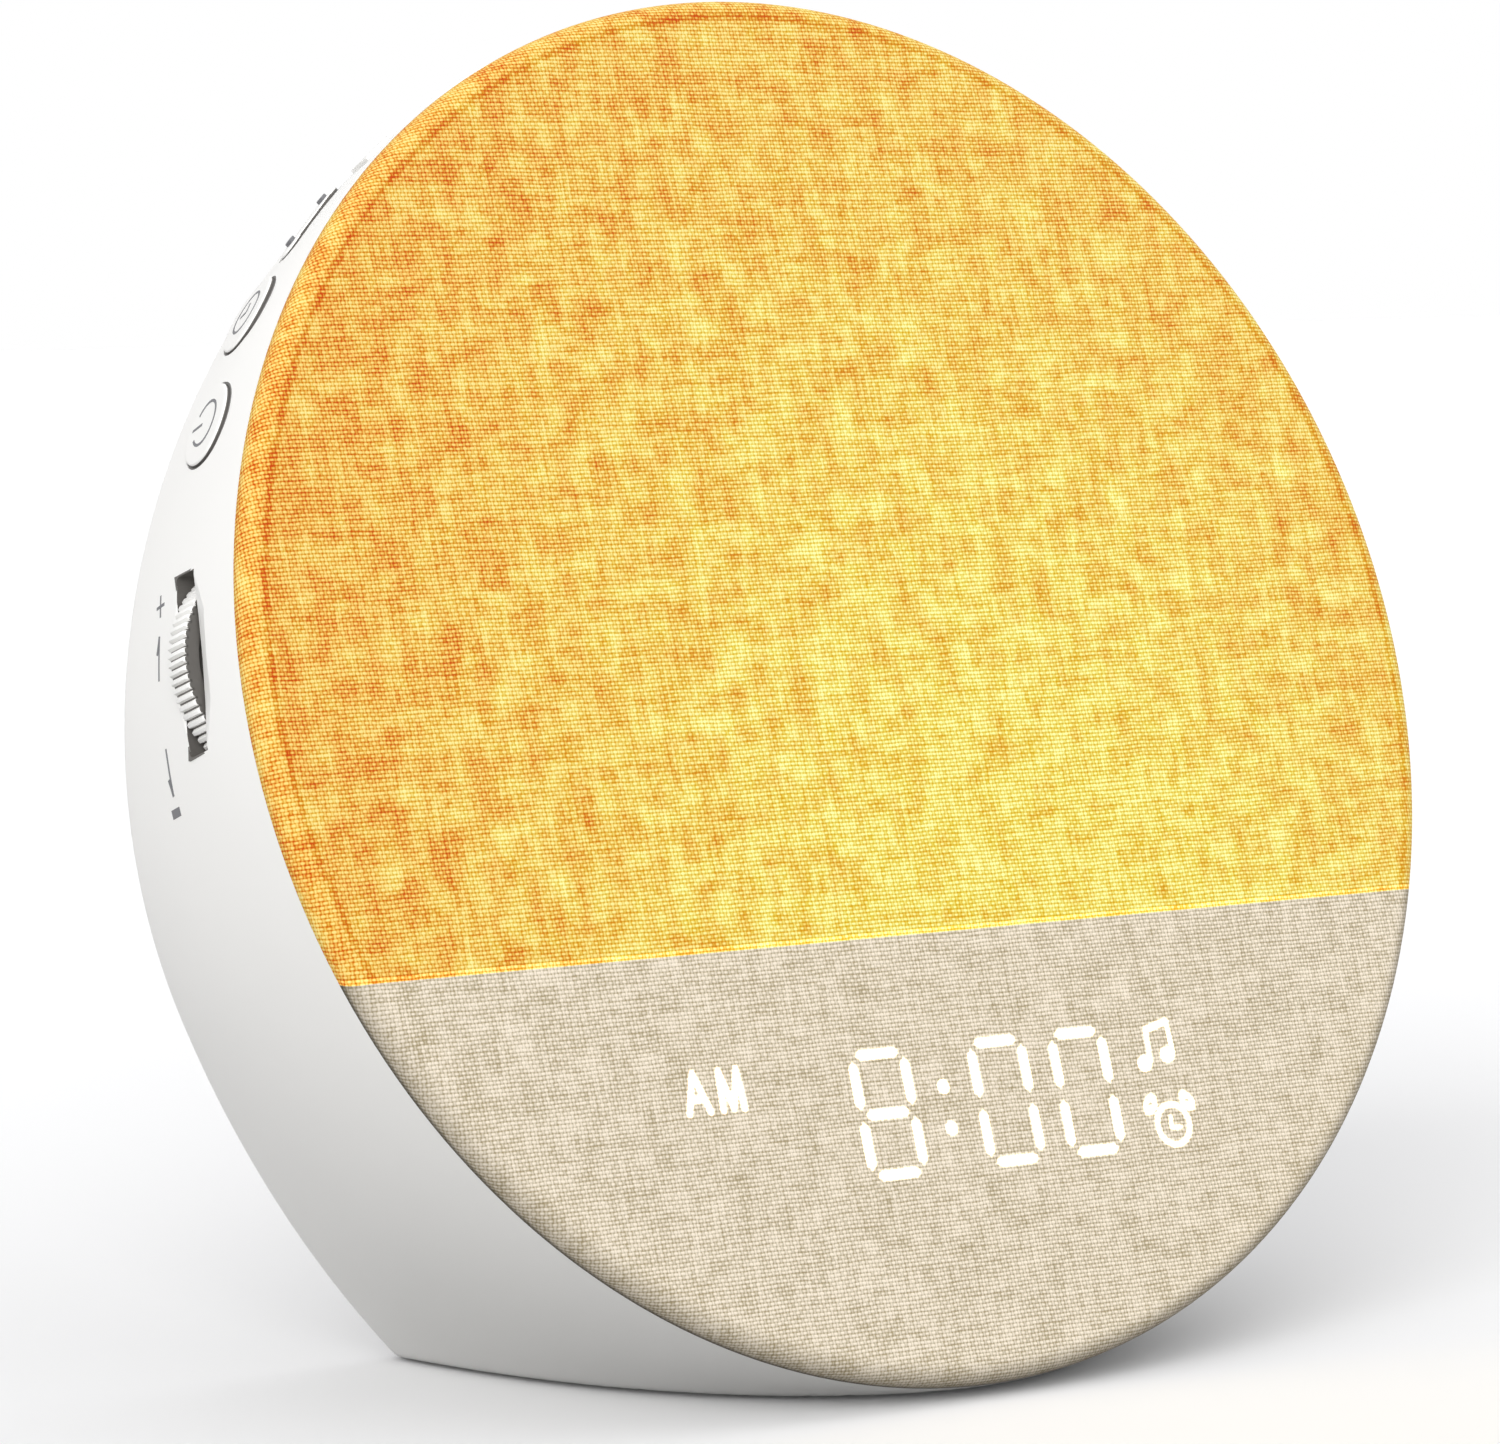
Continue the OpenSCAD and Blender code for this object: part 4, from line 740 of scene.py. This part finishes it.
# The housing's wall is cut finer, drawn on to its formula and shaded with its true slope
def buildHousing():
    mesh = smoothCopy("housing", "clock", more=[looks["grey_plastic"]]).data
    kind = sortFaces(mesh)
    cutFiner(mesh, kind["wall"] & ~kind["under"], housing["longest"], housing["cuts"])
    kind = sortFaces(mesh)
    low = faceData(mesh)[0][:, 2] < form["floor"] + housing["low"]
    cutFiner(mesh, kind["wall"] & ~kind["under"] & low, housing["lowLongest"], housing["lowCuts"])
    kind = sortFaces(mesh)
    count = len(mesh.vertices)
    co = fetch(mesh.vertices, "co", 3) / mm - form["centre"]
    corner = fetch(mesh.loops, "vertex_index", kind=int)
    total = kind["total"]
    use = np.repeat(kind["wall"], total)
    # Points that only wall faces meet move on to the formula
    met = np.bincount(corner, weights=use, minlength=count)
    free = np.bincount(corner, minlength=count) == met
    a, t = wallPlace(co)
    footA, footT = footPlace(co)
    # Near the foot a point moves only up or down, on to the wall's true line of contact, and so
    # does a point a little higher that stands off the wall
    straight = wallPoint(footA, footT)
    lift, off = co[:, 2] - form["floor"], np.abs(straight[:, 2] - co[:, 2])
    stray = (lift < housing["strayLift"]) & (off > housing["strayOff"])
    atFoot = (met > 0) & (np.abs(co[:, 0]) < housing["footHalf"]) & ((lift < housing["footLift"]) | stray)
    shift = np.abs(straight[:, 0] - co[:, 0]) + np.abs(straight[:, 1] - co[:, 1])
    atFoot &= shift < housing["shift"]
    a, t = np.where(atFoot, footA, a), np.where(atFoot, footT, t)
    placed = wallPoint(a, t)
    flat = placed[:, 2] < form["floor"] + 1e-4
    normal = np.where((flat & atFoot)[:, None], [0.0, 0.0, -1.0], wallNormal(a, t))
    co = np.where((free | atFoot)[:, None], placed, co)
    mesh.vertices.foreach_set("co", ((co + form["centre"]) * mm).ravel())
    mesh.update()
    shade(mesh)
    # Where no slope is given (0, 0, 0) the mesh keeps its own
    inDish = np.repeat(kind["dish"], total)
    hollow = dishNormal(co[corner], np.repeat(kind["tilt"], total))[0]
    wanted = np.where(use[:, None], normal[corner], np.where(inDish[:, None], hollow, 0.0))
    mesh.normals_split_custom_set(wanted.tolist())
    # The sides of the wheel's slot get the grey: painted shade in the narrow slot
    mesh.polygons.foreach_set("material_index", kind["slot"].astype(np.int32))
    print("housing faces", len(total), "wall", int(kind["wall"].sum()), "dish", int(kind["dish"].sum()),
          "slot", int(kind["slot"].sum()), "at the foot", int(atFoot.sum()))


buildHousing()
for name, body in (("rear_cover", "clock"), ("battery_door", "clock"), ("snooze_bar", "snooze_bar")):
    smoothCopy(name, body, bevel=True)
print("moulded pieces ready")

# The caps of the side controls, in mm
cap = {
    "edge": 0.22, "skirt": 1.3,  # rounding of the top edge, depth of the new skirt
    # How far the plain cap beneath is pressed down and drawn in, and how far below the skirt
    "under": 0.35, "inset": 0.94, "past": 0.05,
    "proud": 0.4, "gap": 0.35, "endGap": {"volume_rocker": 0.52},
    # Direction in degrees, depth, half width along the depth, half length round the rim
    "places": {
        "power_button": (153.7, 13.8, 4.8, 4.8), "alarm_button": (143.2, 13.8, 4.8, 4.8),
        "volume_rocker": (133.5, 12.4, 2.1, 5.5),
    },
    "rings": (0, 0.3, 0.6, 0.85),  # share of the flat top
    "greyFrom": 1.05, "inkFrom": -0.02,  # grey, as painted shade, below this share of the edge; the ink's grey above the top
    "pip": (0.85, 0.45), "pipAt": 3.5, "pipH": 0.4, "pipEdge": 0.12, "pipSkirt": 0.6,
    "tuck": 0.05, "tiltRoom": 0.15,  # from the cap to the grey web of painted shade, and more where the rocker tips
    "webShadeTop": -0.14, "webShadeLow": -0.4, "webShadeShort": 0.01,
}


# Height of the cone that touches the wall under a cap, at offsets u in depth and w round the
# rim: the root of the cone's radius squared less w squared
def coneTop(deg, s, u, w):
    a0 = np.radians(deg)
    r0 = float(wallR(a0, s))
    slope = float(wallR(a0, s + 1)) - r0
    return np.sqrt((r0 + slope * u) ** 2 - w ** 2)


# Points of a round-ended outline: half circles of radius r about two centres
def roundOutline(r, halfS, halfW, count=33):
    end = min(halfS, halfW)
    k = np.linspace(0, np.pi, count) - (np.pi / 2 if halfS > halfW else 0)
    k = np.concatenate([k, k + np.pi])
    sign = np.repeat([1, -1], count)
    return r * np.cos(k) + sign * (halfS - end), r * np.sin(k) + sign * (halfW - end)


# From a cap's own directions (out, round the rim, deeper) to the row frame, and back from mm
def onCap(deg, s, h, w, u):
    a0 = np.radians(deg)
    return onFace(h * np.cos(a0) - w * np.sin(a0), h * np.sin(a0) + w * np.cos(a0), s + u)


def offCap(deg, s, p):
    a0 = np.radians(deg)
    up, deep = leaned(p)
    return p[:, 0] * np.cos(a0) + up * np.sin(a0), up * np.cos(a0) - p[:, 0] * np.sin(a0), deep - s


# Rows run from the middle of the top out over the rounded edge, down the skirt and in below
def capShell(deg, s, halfS, halfW, proud, skirt, e, shift=0.0):
    end = min(halfS, halfW)
    turn = np.radians(np.arange(0, 91, 15))
    r = np.concatenate([np.array(cap["rings"]) * (end - e), end - e + e * np.sin(turn), [end, 0]])
    drop = np.concatenate([np.zeros(len(cap["rings"])), e - e * np.cos(turn), [skirt, skirt]])
    u, w = roundOutline(r[:, None], halfS, halfW)
    h = coneTop(deg, s, u, w + shift) + proud - drop[:, None]
    return onCap(deg, s, h, w + shift, u), gridFaces(len(r), u.shape[1], ("open", "open"))


# The plain cap is pressed below the new one, which has a rounded edge and a grey skirt, painted
# shade where the cap goes down into the gap, and on the rocker two pips in the ink's grey
def buildCap(node):
    deg, s, halfS, halfW = cap["places"][node]
    under = smoothCopy(node, node)
    h, w, u = offCap(deg, s, fetch(under.data.vertices, "co", 3) / mm - form["centre"])
    top = coneTop(deg, s, u, w) + cap["proud"]
    press = top - h < cap["skirt"] + cap["past"]
    k = np.where(press, cap["inset"], 1)
    moved = onCap(deg, s, np.where(press, np.minimum(h, top - cap["under"]), h), w * k, u * k)
    under.data.vertices.foreach_set("co", moved.ravel())
    shells = [capShell(deg, s, halfS, halfW, cap["proud"], cap["skirt"], cap["edge"])]
    if node == "volume_rocker":
        shells += [capShell(deg, s, *cap["pip"], cap["proud"] + cap["pipH"], cap["pipSkirt"],
                            cap["pipEdge"], side * cap["pipAt"]) for side in (-1, 1)]
    materials = [looks[k] for k in ("white_plastic", "grey_plastic", "ink")]
    piece = makePiece(node + "_cap", shells, node, materials)
    h, w, u = offCap(deg, s, faceData(piece.data)[0])
    drop = coneTop(deg, s, u, w) + cap["proud"] - h
    # Grey on the skirt is painted shade; the pips take the ink's grey
    look = np.where(drop > cap["edge"] * cap["greyFrom"], 1, np.where(drop < cap["inkFrom"], 2, 0))
    piece.data.polygons.foreach_set("material_index", look.astype(np.int32))


# A grey web lies in the gap round each cap, just under the wall's surface, as painted shade in
# the gap; its section is a rectangle carried round the outline
def buildGapShade():
    shells = []
    for node, (deg, s, halfS, halfW) in cap["places"].items():
        endGap = cap["endGap"].get(node, cap["gap"])
        inner = cap["tuck"] + endGap - cap["gap"] + (cap["tiltRoom"] if endGap > cap["gap"] else 0)
        near, far = (cap["tuck"], inner), (cap["gap"] - cap["webShadeShort"], endGap - cap["webShadeShort"])
        rows = []
        for (growS, growW), lift in ((near, cap["webShadeTop"]), (far, cap["webShadeTop"]),
                                     (far, cap["webShadeLow"]), (near, cap["webShadeLow"])):
            end = min(halfS + growS, halfW + growW)
            u, w = roundOutline(end, halfS + growS, halfW + growW)
            rows.append(onCap(deg, s, coneTop(deg, s, u, w) + lift, w, u))
        grid = np.stack(rows, 1)
        shells.append((grid, gridFaces(len(grid), 4, "loop")))
    makePiece("gap_shade_webs", shells, "clock", [looks["key_mat"]])


for node in cap["places"]:
    buildCap(node)
buildGapShade()
print("caps ready")

# The dimmer wheel, in mm
wheel = {
    "at": np.radians(173.5), "r": 12.5, "centre": 68.5, "depth": 14.0, "thick": 3.4,
    "bore": 3.0, "hub": 2, "rim": 2, "web": 0.7,  # widths of hub and rim, and how deep the web lies
    "edge": 0.25, "edgeMid": 0.07, "ribSide": 0.5,
    "ribs": 79, "ribH": 0.45, "perRib": 10,
    "ribHalf": 0.27, "ribSlope": 0.08,  # shares of a rib's pitch
    "treadW": 0.4, "sharpFrom": 40,
    "greyAbove": 0.03, "greyBeside": 0.02,  # mm from the gaps' floor and from the sides
}


# The section goes round from the bore in front, over the tread and back; the tread's radius
# rises and falls with the ribs
def buildWheel():
    h, e, m = wheel["thick"] / 2, wheel["edge"], wheel["edgeMid"]
    r, bore, side = wheel["r"], wheel["bore"], wheel["r"] - wheel["ribSide"]
    hub, rim, w = bore + wheel["hub"], r - wheel["rim"], h - wheel["web"]
    section = np.array([
        (bore, -h), (hub, -h), (hub, -w), (rim, -w), (rim, -h), (side, -h), (r - e, -h),
        (r - m, -h + m), (r, -h + e), (r, 0), (r, h - e), (r - m, h - m), (r - e, h), (side, h),
        (rim, h), (rim, w), (hub, w), (hub, h), (bore, h), (bore, 0),
    ])
    steps = wheel["ribs"] * wheel["perRib"]
    turn = np.arange(steps) * 2 * np.pi / steps
    fold = np.abs(np.mod(turn * wheel["ribs"] / (2 * np.pi) + 0.5, 1) - 0.5)  # 0 on a rib, 0.5 in a gap
    sink = wheel["ribH"] * np.clip((fold - wheel["ribHalf"]) / wheel["ribSlope"], 0, 1)
    tread = section[:, 0] > r - wheel["treadW"]
    radius = section[:, 0][:, None] - tread[:, None] * sink[None, :]
    middleX, middleY = wheel["centre"] * np.cos(wheel["at"]), wheel["centre"] * np.sin(wheel["at"])
    x = middleX + radius * np.cos(turn + wheel["at"])
    y = middleY + radius * np.sin(turn + wheel["at"])
    grid = onFace(x, y, wheel["depth"] + section[:, 1][:, None])
    faces = gridFaces(len(section), len(turn), "loop")
    materials = [looks["white_plastic"], looks["grey_plastic"]]
    mesh = makePiece("dimmer_wheel_shown", [(grid, faces)], "dimmer_wheel", materials,
                     wheel["sharpFrom"], ("dimmer_wheel",)).data
    # The gaps between the ribs and both sides are grey: the wheel's grey core, with painted shade in the
    # grooves between the ribs
    mid = faceData(mesh)[0]
    up, deep = leaned(mid)
    away = np.hypot(mid[:, 0] - middleX, up - middleY)
    beside = np.abs(deep - wheel["depth"]) > h - wheel["greyBeside"]
    coreAndShade = (away < r - wheel["ribH"] + wheel["greyAbove"]) | beside
    mesh.polygons.foreach_set("material_index", coreAndShade.astype(np.int32))


# The grey liner in the wheel's slot, a sheet of painted shade, in mm: room beside the wheel, its
# wall, how far it stays inside the slot and below the dish, its corners, and the distance of its
# lower edge from the face's axis at the ends, where the wheel passes under it, and along the sides
well = {
    "clear": 0.38, "thick": 0.2, "inside": 0.02, "below": 0.2, "round": 0.9,
    "endLow": 76.4, "sideLow": 75.4, "perSide": 48,
}


# A thin grey frame with rounded corners, painted shade in the slot: its section is a rectangle carried
# round the slot's sides
def buildSlotShade():
    halfS, halfW, t = wheel["thick"] / 2 + well["clear"], dish["slot"] / 2 - well["inside"], well["thick"]
    corner = [(-halfS, -halfW), (halfS, -halfW), (halfS, halfW), (-halfS, halfW)]
    sides = zip(corner, corner[1:] + corner[:1])
    path = np.concatenate([np.linspace(a, b, well["perSide"], endpoint=False) for a, b in sides])
    bend = well["round"]
    core = np.clip(path, [-halfS + bend, -halfW + bend], [halfS - bend, halfW - bend])
    inner = core + (path - core) / np.linalg.norm(path - core, axis=1, keepdims=True) * bend
    outer = path * (1 + np.array([t / halfS, t / halfW]))
    low = np.where(np.abs(path[:, 0]) > halfS - 0.01, well["sideLow"], well["endLow"])
    rows = []
    for edge, atTop in ((inner, True), (outer, True), (outer, False), (inner, False)):
        u, w = edge.T
        top = dish["wall"] - dish["d"] + dish["r"] - np.sqrt(dish["r"] ** 2 - w ** 2) - well["below"]
        rows.append(onCap(np.degrees(dish["at"]), dish["s"], top if atTop else low, w, u))
    grid = np.stack(rows, 1)
    shell = (grid, gridFaces(len(grid), 4, "loop"))
    makePiece("slot_shade_liner", [shell], "clock", [looks["grey_plastic"]])


buildWheel()
buildSlotShade()
print("wheel ready")

# The printed signs: line width, height over the wall and thickness in mm; places are an angle
# round the rim in degrees and a depth in mm
ink = {
    "width": 0.36, "proud": 0.03, "thick": 0.05,
    "rimR": 79,  # radius of the rim, to turn mm round it into degrees
    "ringR": 2.6, "power": (153.6, 13.9), "alarm": (143.1, 13.9),
    "plus": (167.6, 20.5), "minus": (184.0, 22.4), "minusWide": 2.8, "barbWide": 1.3,
    "arrows": [[(170.0, 20.8), (171.8, 21.15), (173.5, 21.5)],
               [(182.7, 22.1), (180.8, 21.95), (178.9, 21.8)]],
    "barbs": [[(170.0, 20.8), (170.7, 21.15), (171.4, 21.6)],
              [(182.7, 22.1), (182.0, 22.25), (181.3, 22.5)]],
}


# A flat ribbon along a path of (angle, depth) places; radius is a function of both.
# Each row is the section's four corners.
def ribbon(path, width, radius):
    a, s = np.radians(path[:, 0]), path[:, 1]
    r = radius(a, s)
    p = np.stack([a * r.mean(), s], -1)
    d = np.gradient(p, axis=0)
    d /= np.maximum(np.linalg.norm(d, axis=1, keepdims=True), 1e-9)
    side = np.stack([-d[:, 1], d[:, 0]], -1) * width / 2
    top, low = ink["proud"], ink["proud"] - ink["thick"]
    rows = []
    for sign, lift in ((-1, top), (1, top), (1, low), (-1, low)):
        q = p + sign * side
        turn = q[:, 0] / r.mean()
        out = radius(turn, q[:, 1]) + lift
        rows.append(onFace(out * np.cos(turn), out * np.sin(turn), q[:, 1]))
    return np.stack(rows, 1), gridFaces(len(p), 4)


# Places of an arc or a line about one place, from mm round the rim and mm to the rear
def arcPath(place, start, end, count=25):
    k = np.radians(np.linspace(start, end, count))
    r = ink["ringR"]
    return np.stack([place[0] + np.degrees(r * np.cos(k) / ink["rimR"]), place[1] + r * np.sin(k)], -1)


def linePath(place, a, b, count=5):
    k = np.linspace(0, 1, count)[:, None]
    p = np.array(a) * (1 - k) + np.array(b) * k
    return np.stack([place[0] + np.degrees(p[:, 0] / ink["rimR"]), place[1] + p[:, 1]], -1)


# Radius of a round button's cap, a cone that touches the wall's slope at its middle
def capRadius(node):
    deg, s0 = cap["places"][node][:2]
    a0 = np.radians(deg)
    r0 = float(wallR(a0, s0)) + cap["proud"]
    slope = float(wallR(a0, s0 + 1)) - float(wallR(a0, s0))
    return lambda a, s: r0 + slope * (s - s0) + 0 * a


# Each sign is (path, share of the line width) pairs
def buildSign(name, body, paths, radius):
    shells = [ribbon(np.array(path), ink["width"] * wide, radius) for path, wide in paths]
    makePiece(name, shells, body, [looks["ink"]])


def buildInk():
    power, alarm, plus, minus = ink["power"], ink["alarm"], ink["plus"], ink["minus"]
    paths = [(arcPath(power, 125, 415), 1), (linePath(power, (0, 0.6), (0, 3.1)), 1)]
    buildSign("power_sign", "power_button", paths, capRadius("power_button"))
    paths = [(arcPath(alarm, 0, 360, 49), 1), (linePath(alarm, (0.1, 1.5), (0, 0)), 1),
             (linePath(alarm, (0, 0), (-1.3, 0.1)), 1)]
    buildSign("alarm_sign", "alarm_button", paths, capRadius("alarm_button"))
    paths = [(linePath(plus, (-1.25, 0), (1.25, 0)), 1), (linePath(plus, (0, -1.1), (0, 1.1)), 1),
             (linePath(minus, (0, -1.1), (0, 1.1)), ink["minusWide"])]
    paths += [(p, 1) for p in ink["arrows"]] + [(p, ink["barbWide"]) for p in ink["barbs"]]
    buildSign("rim_signs", "clock", paths, wallR)


buildInk()
print("signs ready")

# Floor and light; lengths in metres
stage = {
    "size": 3.0,
    "near": "efefef", "far": "fafafa", "fade": (0.1, 0.4),  # the paper's white, darker near the object as a painted shadow, and where it changes
    "bounce": "8c8c8c",  # the table's colour as the object's light meets it
    "glow": 0.01, "sky": "fdfdff", "world": 0.5,
    # Where each lamp's light comes from, its strength and how wide it is in degrees
    "lamps": {
        "left": ((-0.72, -0.60, 0.36), 2.8, 50),
        "top": ((0.10, -0.30, 0.95), 0.65, 70),
        "right": ((0.80, 0.30, 0.50), 0.6, 80),
    },
}


# Rays that show the background: straight from the camera, reflected or let through
def seenRays(tree):
    ray = add(tree, "LightPath", {})
    direct = add(tree, "Math", [(ray, "Is Camera Ray"), (ray, "Is Glossy Ray")], operation="MAXIMUM")
    return add(tree, "Math", [direct, (ray, "Is Transmission Ray")], operation="MAXIMUM")


# White paper: where it is seen it is lit to white, with the shadow kept; it sends little
# light up at the object, as a table of limited size would
def buildStage():
    h = stage["size"]
    mesh = bpy.data.meshes.new("floor")
    mesh.from_pydata([(-h, -h, 0), (h, -h, 0), (h, h, 0), (-h, h, 0)], [], [(0, 1, 2, 3)])
    floor = newObject("floor", mesh)
    m = bpy.data.materials.new("paper_white_seamless")
    tree = emptyTree(m)
    place = (add(tree, "TexCoord", {}), "Object")
    relief = bumps(tree, noise(tree, place, 900.0), 0.05, 0.02)
    off = add(tree, "VectorMath", [place], operation="LENGTH")
    away = add(tree, "MapRange", [off.outputs["Value"], *stage["fade"], 0.0, 1.0])
    # The paper is painted darker near the object: a painted shadow round it
    white = add(tree, "MixRGB", [away, colour(stage["near"]), colour(stage["far"])])
    seen = add(tree, "BsdfDiffuse", {"Color": white, "Normal": relief})
    lift = add(tree, "Emission", {"Color": colour("ffffff"), "Strength": stage["glow"]})
    paper = add(tree, "AddShader", [seen, lift])
    dim = add(tree, "BsdfDiffuse", {"Color": colour(stage["bounce"])})
    mix = add(tree, "MixShader", [seenRays(tree), dim, paper])
    add(tree, "OutputMaterial", [mix])
    mesh.materials.append(m)


# Three wide suns, and a world that is white where it is seen and dimmer as light
def buildLight():
    for name, (source, strength, angle) in stage["lamps"].items():
        lamp = bpy.data.lights.new(name, "SUN")
        lamp.energy, lamp.angle = strength, np.radians(angle)
        newObject(name, lamp).rotation_euler = Vector(source).to_track_quat("Z", "Y").to_euler()
    world = bpy.data.worlds.new("studio")
    bpy.context.scene.world = world
    tree = emptyTree(world)
    seen = add(tree, "Background", [colour("ffffff"), 1.0])
    light = add(tree, "Background", [colour(stage["sky"]), stage["world"]])
    mix = add(tree, "MixShader", [seenRays(tree), light, seen])
    add(tree, "OutputWorld", [mix])
    bpy.context.scene.view_settings.view_transform = "Standard"


# Directions, place in metres from the middle of the face, and lens and sensor width in mm
camera = {
    "look": (0.59090713, 0.8017011, -0.09002287), "right": (0.80496, -0.59333, -0.0002),
    "place": (-0.4453, -0.5820, 0.0610), "lens": 157.76, "sensor": 36.0, "clip": (0.02, 20.0),
}


def buildCamera():
    data = bpy.data.cameras.new("camera")
    cam = newObject("camera", data)
    look = Vector(camera["look"]).normalized()
    up = Vector(camera["right"]).normalized().cross(look).normalized()
    turn = Matrix((look.cross(up), up, -look)).transposed()
    place = Vector(form["centre"] * mm) + Vector(camera["place"])
    cam.matrix_world = Matrix.Translation(place) @ turn.to_4x4()
    data.sensor_fit, data.sensor_width, data.lens = "HORIZONTAL", camera["sensor"], camera["lens"]
    data.clip_start, data.clip_end = camera["clip"]
    bpy.context.scene.camera = cam


buildStage()
buildLight()
buildCamera()
print("stage ready")
